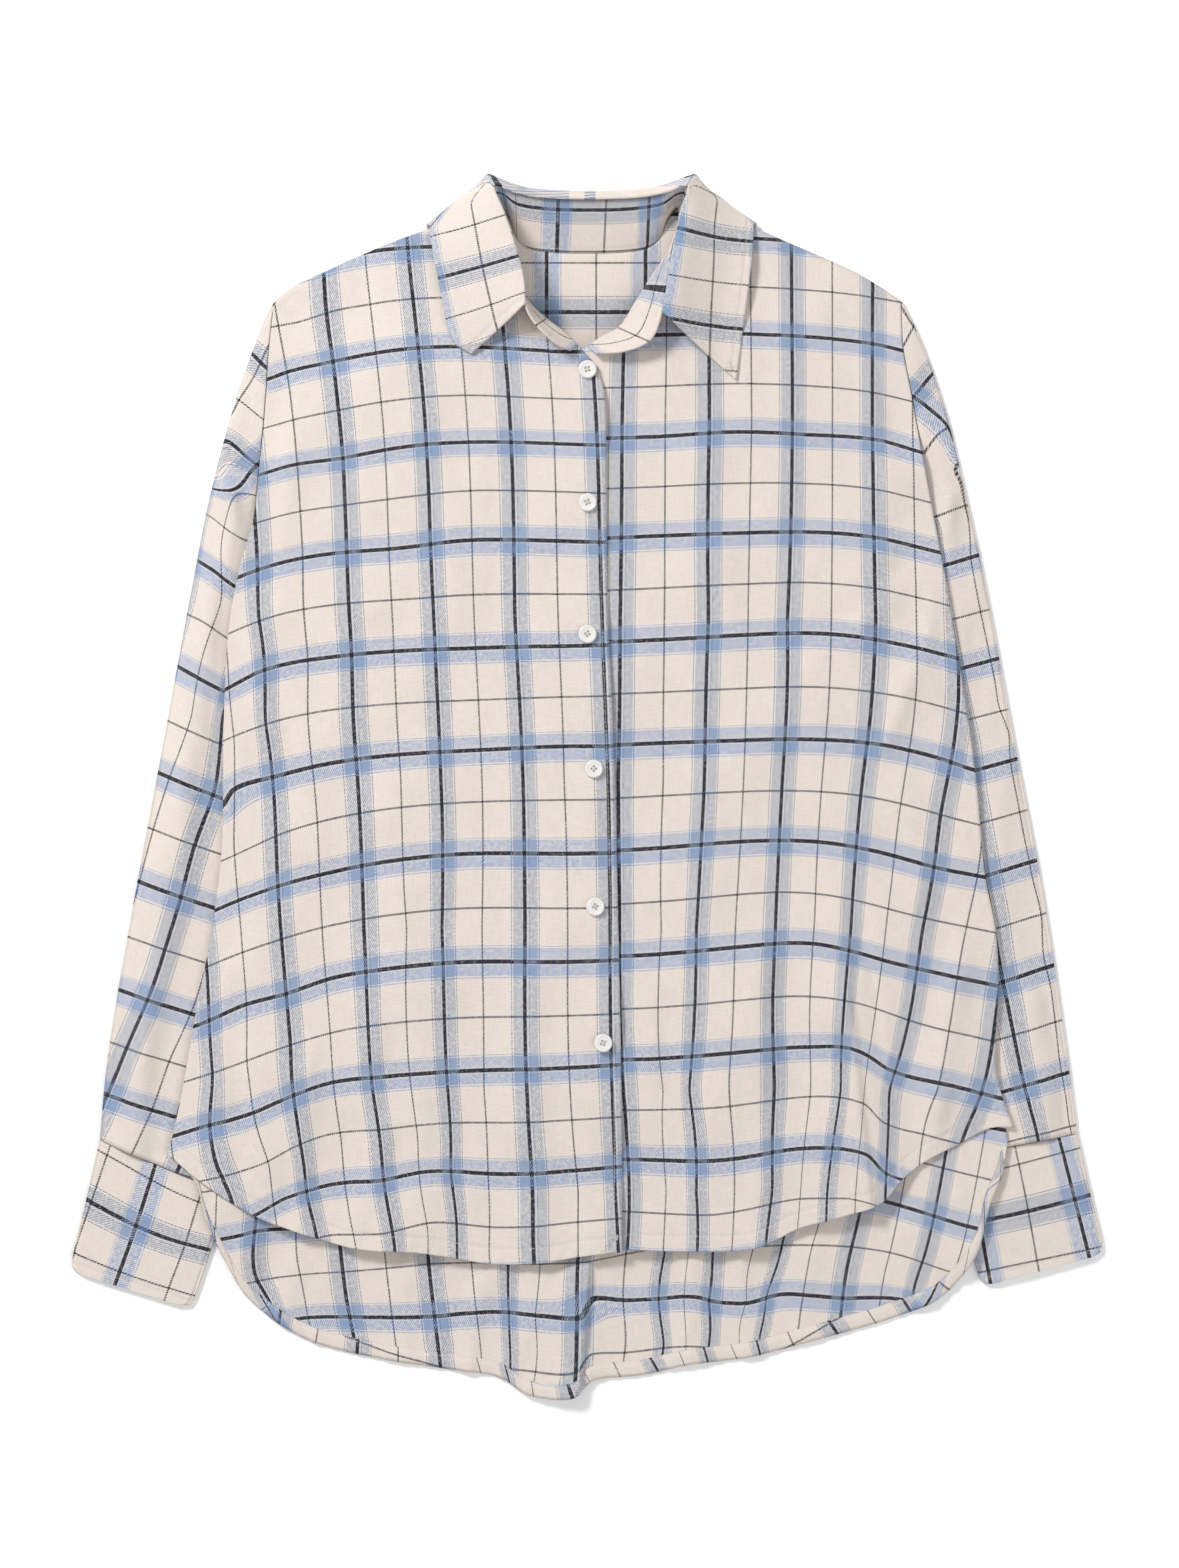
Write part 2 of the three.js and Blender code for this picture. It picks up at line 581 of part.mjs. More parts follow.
function cuff(corners) {
  const at = ([x, y]) => new THREE.Vector3(x, y, 0);
  const toward = (from, to, distance) => {
    const direction = to.clone().sub(from).normalize();
    return from.clone().addScaledVector(direction, distance);
  };
  const outerTop = at(corners.outerTop);
  const innerTop = at(corners.innerTop);
  const outerEnd = at(corners.outerEnd);
  const innerEnd = at(corners.innerEnd);
  const top = [toward(outerTop, outerEnd, CUFF_BELOW_SLEEVE), toward(innerTop, innerEnd, CUFF_BELOW_SLEEVE)];
  const rounded = (start, end, other) => {
    const along = toward(end, start, CUFF_ROUNDING);
    const beyond = toward(end, other, CUFF_ROUNDING);
    const bend = along.clone().lerp(beyond, 0.5).lerp(end, 0.45);
    return [start, start.clone().lerp(along, 0.5), along, bend, beyond];
  };
  const flat = (points) => line(points.map((p) => [p.x, p.y]));
  const outerSide = rounded(top[0], outerEnd, innerEnd);
  const innerSide = rounded(top[1], innerEnd, outerEnd);
  const bottom = flat([outerSide[4], innerSide[4]]);
  const outline = patch(flat(top), bottom, flat(outerSide), flat(innerSide));
  return flatTube(outline, CUFF_ROWS, cuffTop, DOUBLED);
}

add('cuff_right', cuff(RIGHT_CUFF), COLOURS.cloth);
add('cuff_left', cuff(LEFT_CUFF), COLOURS.cloth);

// The stand's foot and head as smooth lines, walked by station number.
const STAND_PLAY = 0.5;
const STAND_WALL = 1.4;
const STAND_ROWS = 52;

function footHeight(station, index) {
  const [x, y] = station.foot;
  if (index <= NECK_POINT_RIGHT) {
    return rightFrontTop(x, y) + STAND_PLAY;
  }
  if (index >= NECK_POINT_LEFT) {
    return frontUnder(x, y) + CLOTH + STAND_PLAY;
  }
  return backTop(x, y) + STAND_PLAY;
}

function byStation(points) {
  const curve = new THREE.CatmullRomCurve3(points, false, 'catmullrom', 0.5);
  return (station) => curve.getPoint(station / (points.length - 1));
}

const footLine = byStation(STAND.map((row, i) => new THREE.Vector3(...row.foot, footHeight(row, i))));
const headLine = byStation(STAND.map((row) => new THREE.Vector3(...row.head, row.height)));

// Unit direction out of the collar, level, at a station.
function outwards(station) {
  const NEAR = 0.2;
  const ahead = headLine(Math.min(station + NEAR, STAND.length - 1));
  const along = ahead.sub(headLine(Math.max(station - NEAR, 0)));
  return new THREE.Vector3(-along.y, along.x, 0).normalize();
}

// Points moved off a grid by a distance, square to it.
function offsetGrid(grid, distance) {
  const last = [grid.length - 1, grid[0].length - 1];
  return grid.map((row, i) => row.map((p, j) => {
    const down = grid[Math.min(i + 1, last[0])][j].clone().sub(grid[Math.max(i - 1, 0)][j]);
    const across = grid[i][Math.min(j + 1, last[1])].clone().sub(grid[i][Math.max(j - 1, 0)]);
    return p.clone().addScaledVector(down.cross(across).normalize(), distance);
  }));
}

const standGrid = steps(STAND_ROWS).map((t) => {
  const station = t * (STAND.length - 1);
  return steps(3).map((v) => footLine(station).lerp(headLine(station), v));
});
const stand = wallBetween(standGrid, offsetGrid(standGrid, STAND_WALL));
add('collar_stand', stand, COLOURS.collar);

// The collar: each row leaves the stand's head, rolls over, and runs to the loose edge.
const COLLAR_OFF_STAND = 0.6;
const COLLAR_ROLL_DROP = 3.5;
const COLLAR_LOW = 5;
const COLLAR_TURN_UNDER = 3;
const COLLAR_OFF_FLOOR = 0.1;

function collarRow({ at, edge, round }) {
  const out = outwards(at);
  const rise = headLine(at).sub(footLine(at)).normalize().z;
  const start = headLine(at).addScaledVector(out, COLLAR_OFF_STAND);
  start.z += mix(COLLAR_ABOVE_FLAT, COLLAR_ABOVE_UPRIGHT, rise);
  const end = new THREE.Vector3(...edge);
  if (round) {
    return [start, ...round.map((p) => new THREE.Vector3(...p)), end];
  }
  if (end.z > 0) {
    const between = (share, height) => {
      const p = start.clone().lerp(end, share);
      p.z = mix(start.z, end.z, height);
      return p;
    };
    const roll = between(0.14, 0.06);
    return [start, roll, between(0.42, 0.5), between(0.72, 0.88), end];
  }
  const roll = start.clone().addScaledVector(out, COLLAR_ROLL);
  roll.z -= COLLAR_ROLL_DROP;
  const low = start.clone().addScaledVector(out, COLLAR_ROLL);
  low.z = COLLAR_LOW;
  const floor = start.clone().addScaledVector(out, -COLLAR_TURN_UNDER);
  floor.z = COLLAR_OFF_FLOOR;
  return [start, roll, low, floor, end];
}

const COLLAR_ROWS = 44;
const COLLAR_COLUMNS = 9;
const collarRows = COLLAR.map(collarRow);
const collarLines = collarRows[0].map((_, k) => new THREE.CatmullRomCurve3(collarRows.map((row) => row[k])));
const collarGrid = steps(COLLAR_ROWS).map((t) => {
  const stops = collarLines.map((curve) => curve.getPoint(t));
  const section = new THREE.CatmullRomCurve3(stops, false, 'centripetal');
  return steps(COLLAR_COLUMNS).map((v) => {
    const p = section.getPointAt(v);
    p.z = Math.max(0, p.z);
    return p;
  });
});
add('collar', wallBetween(collarGrid, offsetGrid(collarGrid, -DOUBLED)), COLOURS.collar);

// Buttons: dished discs on the right front, clear of its highest point below each.
function buttonGeometry() {
  const SIDES = 16;
  const RIM_WIDTH = 2;
  const DISH_DEPTHS = [0.5, 0.8];
  const radius = BUTTON_DIAMETER / 2;
  const profile = [
    [0, 0],
    [radius - BUTTON_RIM, 0],
    [radius, BUTTON_RIM],
    [radius, BUTTON_THICKNESS - BUTTON_RIM],
    [radius - BUTTON_RIM, BUTTON_THICKNESS],
    [radius - RIM_WIDTH, BUTTON_THICKNESS - DISH_DEPTHS[0]],
    [0, BUTTON_THICKNESS - DISH_DEPTHS[1]],
  ];
  const lathe = new THREE.LatheGeometry(profile.map(([r, z]) => new THREE.Vector2(r, z)), SIDES);
  return lathe.rotateX(Math.PI / 2);
}

BUTTONS.forEach(([x, y], i) => {
  let seat = 0;
  for (const turn of steps(8)) {
    for (const reach of [0, 3, BUTTON_DIAMETER / 2]) {
      const angle = 2 * Math.PI * turn;
      seat = Math.max(seat, rightFrontTop(x + reach * Math.cos(angle), y + reach * Math.sin(angle)));
    }
  }
  const geometry = buttonGeometry().translate(x, y, seat + SEAM_GAP);
  add(`button_${i + 1}`, geometry, COLOURS.button, 0.3);
});

export default shirt;
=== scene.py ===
"""A checked flannel shirt laid on its back, built on the frame's solids.

Tables are in millimetres in the row frame; places read off the photograph are in its pixels.
Meshes are made in metres, with their cloth coordinates (along the weft, along the warp) as UVs.
"""

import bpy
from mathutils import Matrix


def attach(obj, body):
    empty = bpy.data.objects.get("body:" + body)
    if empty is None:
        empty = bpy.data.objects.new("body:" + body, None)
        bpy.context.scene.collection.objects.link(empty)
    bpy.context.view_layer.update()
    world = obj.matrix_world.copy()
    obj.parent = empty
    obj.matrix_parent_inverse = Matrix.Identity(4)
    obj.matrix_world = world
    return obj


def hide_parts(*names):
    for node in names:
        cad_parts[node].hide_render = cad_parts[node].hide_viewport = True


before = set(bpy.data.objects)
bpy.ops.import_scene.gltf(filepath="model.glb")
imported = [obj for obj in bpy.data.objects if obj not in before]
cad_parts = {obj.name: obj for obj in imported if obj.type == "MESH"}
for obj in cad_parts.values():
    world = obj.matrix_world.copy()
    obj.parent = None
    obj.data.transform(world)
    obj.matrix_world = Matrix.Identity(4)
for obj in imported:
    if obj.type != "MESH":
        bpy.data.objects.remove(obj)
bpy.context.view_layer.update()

import math

import bpy
import numpy as np

bl_info = {
    "name": "Flannel shirt",
    "version": (1, 0, 0),
    "blender": (4, 5, 0),
    "location": "View3D > Sidebar > Shirt",
    "description": "Builds a laid-out checked flannel shirt piece by piece",
    "category": "Object",
}

MM = 0.001

# How the photograph's pixels lie in the row frame.
PHOTO_MM_PER_PIXEL = 0.64
PHOTO_MIDDLE = (586.0, 786.0)
PHOTO_SIZE = (1179, 1568)

# Layers, as in the solids, and the thinner shells that stand for them.
CLOTH = 1.2
DOUBLED = 1.6
SHELL = 1.0
HEM_SHELL = 0.5
CUFF_SHELL = 1.3
STAND_SHELL = 1.2
COLLAR_SHELL = 1.4
LEAST_TOP = 1.05
SEAM_GAP = 0.3
LAP_GAP = 0.6
SLEEVE_EDGE = 2.9
SLEEVE_BULGE = 2.9
SLEEVE_OFF_BODY = 0.5
BACK_OVER_SLEEVE = 6.7
YOKE_OVER_COLLAR = 3.0
FRONT_RISE = 10.6
FRONT_RISE_AT_HEM = 7.4
ARMHOLE_OPEN = 2.6
LAP_UNDER_EDGE = -15.0
YOKE_SEAM_Y = 246.0
CLIMB_WIDTH = 58.0

# Outlines, corner by corner, as (x, y).
RIGHT_SHOULDER = [(-200, 310), (-188, 320), (-171, 328), (-148, 338.5), (-124, 348.5), (-100, 357), (-57, 371)]
LEFT_SHOULDER = [(202, 311), (191, 318.5), (175, 328), (153, 338.5), (129, 348.5), (107, 357.5), (60, 371)]
RIGHT_SIDE = [
    (-200, 310), (-203, 281), (-205, 250), (-208, 213), (-213, 170), (-222, 138), (-229, 96), (-232, 30),
    (-233, -40), (-240, -95), (-250, -147), (-257, -188), (-264, -222), (-268, -235),
]
LEFT_SIDE = [
    (202, 311), (203, 281), (209, 248), (215, 213), (221, 180), (229, 138), (236, 96), (244, 46),
    (250, 0), (255, -55), (262, -92), (264, -127), (262, -163), (264, -190), (273, -218),
]
RIGHT_NECK = [
    (-57, 371), (-56.5, 362), (-54, 350), (-50, 337), (-44, 322), (-36, 309), (-26, 299.5), (-15, 291),
    (-5, 281.5), (7, 268),
]
LEFT_NECK = [
    (60, 371), (59, 362), (55.5, 350), (48.5, 336), (39, 322), (31, 309), (21.5, 294), (10, 287.5),
    (0, 281), (-15, 276),
]
BACK_NECK = [
    (-57, 371), (-49, 363), (-44.5, 351), (-36, 344.5), (-20, 342), (0, 341.5), (22, 342), (38, 344.5),
    (47, 351), (52, 363), (60, 371),
]
LAP_EDGE = [(7, 268), (12, 250), (13, 202), (14, 106), (17, 42), (20, -60), (23, -220), (23, -298)]
UNDER_LAP = [(LAP_UNDER_EDGE, 276), (LAP_UNDER_EDGE, 100), (LAP_UNDER_EDGE, -100), (LAP_UNDER_EDGE, -298)]
RIGHT_HEM = [
    (-268, -235), (-248, -252), (-212, -275), (-186, -285), (-148, -296), (-105, -299),
    (-60, -306), (-28, -305), (-4, -301), (23, -298),
]
LEFT_HEM = [
    (273, -218), (258, -219), (237, -230), (219, -239), (202, -252), (190, -266),
    (159, -277), (137, -283), (111, -295), (74, -298), (27, -297), (-15, -298),
]
BACK_HEM = [
    (-263, -238), (-250, -254), (-243, -279), (-232, -303), (-216, -329), (-179, -355), (-134, -367),
    (-92, -373.5), (-54, -380), (-37, -390.5), (-8, -392), (4, -382), (36, -378), (68, -371), (102, -367),
    (149, -355), (195, -342), (226, -329), (241, -314), (252, -295), (258, -270), (266, -250), (270, -226),
]
RIGHT_SLEEVE_OUTER = [
    (-200.5, 311), (-207, 298), (-212, 285), (-221, 260), (-229, 234), (-242, 183), (-252, 132),
    (-271, 29), (-290, -73), (-307, -175), (-312, -227),
]
RIGHT_SLEEVE_INNER = [
    (-213.6, 168), (-204, 150), (-168, 117), (-138, 78), (-128, 30), (-138, -40), (-156, -110),
    (-188, -180), (-228, -262),
]
LEFT_SLEEVE_OUTER = [
    (203, 311.5), (210, 298), (216, 285), (225, 260), (233, 234), (245, 183), (256, 132),
    (275, 29), (294, -73), (309, -175), (315, -223),
]
LEFT_SLEEVE_INNER = [
    (222.6, 175), (213, 154), (176, 120), (146, 80), (136, 30), (146, -40), (164, -110),
    (195, -172), (232, -238),
]
RIGHT_CUFF = [(-312, -227), (-228, -262), (-254, -335), (-331, -311)]
LEFT_CUFF = [(315, -223), (232, -238), (254, -321), (332, -300)]
CUFF_ROUNDING = 6.0

# Sewing, buttons and stage.
UNSEWN = 1000.0
CLOSING_STITCH = 5.0
CUFF_TOP_STITCH = 2.5
STAND_STITCH = 2.5
PUCKER_LENGTH = 9.5
HOLE_OFF = 1.45
HOLE_RADIUS = 0.85
HOLE_DEPTH = 1.3
BUTTON_THREAD = 0.15
MARK_THREAD = 0.22
FLOOR_Z = -0.0005
SENSOR = 36.0

# Soft folds: (from x, y, to x, y, height, half width); a height below 0 is a trough.
FRONT_FOLDS = [
    (-205, -60, -216, -268, 2.4, 17), (-158, -40, -162, -292, -2.0, 18), (-118, 20, -108, -300, 1.7, 19),
    (-70, -90, -60, -306, -1.5, 17), (80, -40, 86, -298, 1.6, 18), (128, -10, 132, -288, -1.9, 17),
    (163, -90, 186, -262, 3.4, 15), (205, -150, 212, -242, -1.8, 15), (-200, 150, -120, 60, 1.5, 20),
    (205, 150, 130, 60, 1.5, 20),
]
TAIL_FOLDS = [
    (-184, -300, -196, -352, 2.2, 12), (-110, -308, -118, -372, 1.6, 13), (-34, -285, -36, -392, 1.6, 13),
    (66, -300, 70, -372, 2.6, 11), (138, -296, 146, -358, 1.6, 12), (206, -280, 222, -330, 2.2, 11),
]
FRONT_CREASES = [
    (-228, 120, -196, 20, 1.1, 7), (-214, 140, -150, 96, -0.9, 8), (-186, 250, -196, 120, 0.9, 12),
    (-150, 300, -160, 190, -0.8, 14), (-96, 250, -84, 120, 0.7, 15), (-52, 230, -44, 60, -0.6, 13),
    (-206, -20, -190, -150, -0.9, 9), (-236, -120, -232, -226, 1.2, 8), (-136, -120, -132, -296, 1.1, 9),
    (-88, -160, -78, -302, -1.0, 9), (-34, -120, -30, -300, 0.9, 9), (-178, -170, -184, -284, 1.0, 8),
    (231, 130, 192, 30, 1.1, 7), (214, 150, 158, 104, -0.9, 8), (186, 250, 192, 130, 0.9, 12),
    (142, 290, 150, 180, -0.8, 14), (92, 240, 80, 110, 0.7, 15), (48, 180, 46, 20, -0.7, 12),
    (232, -20, 224, -130, -0.9, 9), (236, -110, 222, -226, 1.4, 9), (108, -120, 112, -294, 1.0, 9),
    (56, -150, 58, -298, -0.9, 9), (172, -60, 190, -250, -1.6, 6), (150, -120, 160, -276, 0.9, 8),
    (-30, 40, -34, -80, -0.7, 8), (2, 222, 4, -240, 0.5, 10), (164, -120, 179, -262, 1.4, 7),
    (175, -120, 190, -264, -1.9, 5), (-126, -215, -150, -292, 1.2, 8),
]
SLEEVE_CREASES = [
    (-236, 130, -288, -180, 3.0, 13), (-232, 190, -226, 140, 2.0, 8), (-232, 196, -214, 150, 1.3, 7),
    (-252, 110, -236, 40, -0.9, 8), (-262, 20, -252, -70, 1.0, 9),
    (-268, -60, -290, -150, -0.9, 8), (-280, -130, -284, -222, 1.3, 8), (-300, -150, -306, -222, -0.9, 7),
    (-262, -170, -256, -240, 1.1, 7), (236, 190, 222, 150, 1.2, 7), (256, 110, 244, 40, -0.9, 8),
    (268, 20, 262, -80, 1.1, 9), (276, -60, 298, -150, -0.9, 8), (288, -130, 294, -218, 1.3, 8),
    (306, -150, 310, -216, -0.9, 7), (270, -160, 262, -226, 1.1, 7),
]
BACK_CREASES = [
    (-226, -262, -214, -324, 1.0, 8), (-152, -306, -158, -358, -0.8, 9), (-70, -312, -76, -374, 0.9, 8),
    (36, -302, 40, -374, -0.9, 9), (98, -298, 104, -362, 1.0, 8), (172, -288, 182, -344, -0.8, 9),
    (236, -256, 244, -306, 1.0, 8),
]
YOKE_CREASES = [(-30, 318, 24, 322, -0.5, 10), (-14, 336, -10, 300, 0.5, 9), (20, 338, 22, 302, 0.5, 9)]

# Where the back climbs over each sleeve, from the top down: (y, right x, left x, share of the height).
CLIMB = [
    (246, -206, 209, 0), (205, -155, 163, 0.9), (172, -130, 138, 1), (120, -105, 113, 1), (60, -82, 90, 1),
    (0, -76, 84, 1), (-60, -88, 96, 1), (-120, -112, 122, 1), (-180, -142, 152, 1), (-235, -174, 182, 1),
    (-262, -178, 187, 1), (-300, -186, 195, 0.85), (-345, -200, 212, 0),
]

# The collar stand from the right front round to the left front: (foot x, y, head x, y, head height).
STAND = [
    (-6, 282.5, -9.5, 277.5, 20), (-15, 291, -19.5, 282, 28), (-26, 299.5, -32, 294, 32),
    (-36, 309, -38, 306, 34), (-44, 322, -39, 323, 33), (-50, 337, -44.5, 344, 31),
    (-54, 350, -50, 361, 28.5), (-56.5, 362, -55, 373, 26.5), (-55, 370.5, -58.5, 381, 25),
    (-49, 363, -53, 381.5, 22.5), (-44.5, 351, -45, 377.5, 20), (-36, 344.5, -35, 375.5, 18.5),
    (-20, 342, -19, 374.3, 17), (0, 341.5, 2, 374, 16.5), (22, 342, 23, 374.3, 17),
    (38, 344.5, 39, 375.5, 18.5), (47, 351, 50, 377.5, 20), (52, 363, 59, 381.5, 22.5),
    (58, 370.5, 65, 380.5, 25), (59, 362, 61.5, 370, 26), (55.5, 350, 58, 357, 27.5),
    (48.5, 336, 54, 341, 29.5), (39, 322, 51, 320, 30.5), (31, 309, 48, 301, 30.5),
    (21.5, 294, 41, 284, 28), (10, 287.5, 25, 277, 23), (1, 281, 6, 276, 19),
]
NECK_POINTS = (8, 18)

# The collar's loose edge: (station, edge point, points that it rounds at the shoulder).
COLLAR = [
    (3, (-73.5, 275.5, 15.2), None),
    (4, (-86, 286, 15.2), None),
    (5, (-93, 316, 15.2), None),
    (6.4, (-98, 342, 13.5), None),
    (7.6, (-100.5, 358.8, 7.4), [(-63.5, 380, 24), (-77, 376, 14.5), (-91, 366.5, 9)]),
    (8.2, (-102.3, 358.8, 1.6), [(-63, 389, 20), (-73, 381.5, 9), (-89, 370, 3.5)]),
    (8.9, (-94, 347, 0), [(-60, 390.3, 17), (-63, 387, 6.5), (-73, 376.5, 0.6)]),
    (10, (-66, 338, 0), None),
    (11.5, (-32, 330, 0), None),
    (13, (1, 328, 0), None),
    (14.5, (36, 330, 0), None),
    (16, (72, 338, 0), None),
    (17.1, (101, 347, 0), [(66.5, 390.3, 17), (69.5, 387, 6.5), (79, 376.5, 0.6)]),
    (17.8, (109.6, 359.2, 1.6), [(70, 389, 20), (80, 381, 9), (95.5, 369.5, 3.5)]),
    (18.4, (107.7, 359, 7.6), [(70.5, 379, 24), (84, 375, 14.5), (98, 366, 9)]),
    (19.6, (106.5, 340, 13.5), None),
    (21, (103, 311, 15.2), None),
    (22, (99.5, 285, 15.2), None),
    (23, (96, 259, 15.2), None),
]
BUTTONS = [(1, 266), (1, 181), (1, 97), (5, 11), (6, -77), (11, -164)]

# Short rows of thread: the buttonhole of the collar stand and the mark near the front hem
# (x, y, direction in degrees, length, rows off the middle).
THREAD_MARKS = [(-24.6, 285.6, 46, 7.0, (-0.45, 0.45)), (19.8, -288.6, 84, 3.4, (-0.3, 0.3))]

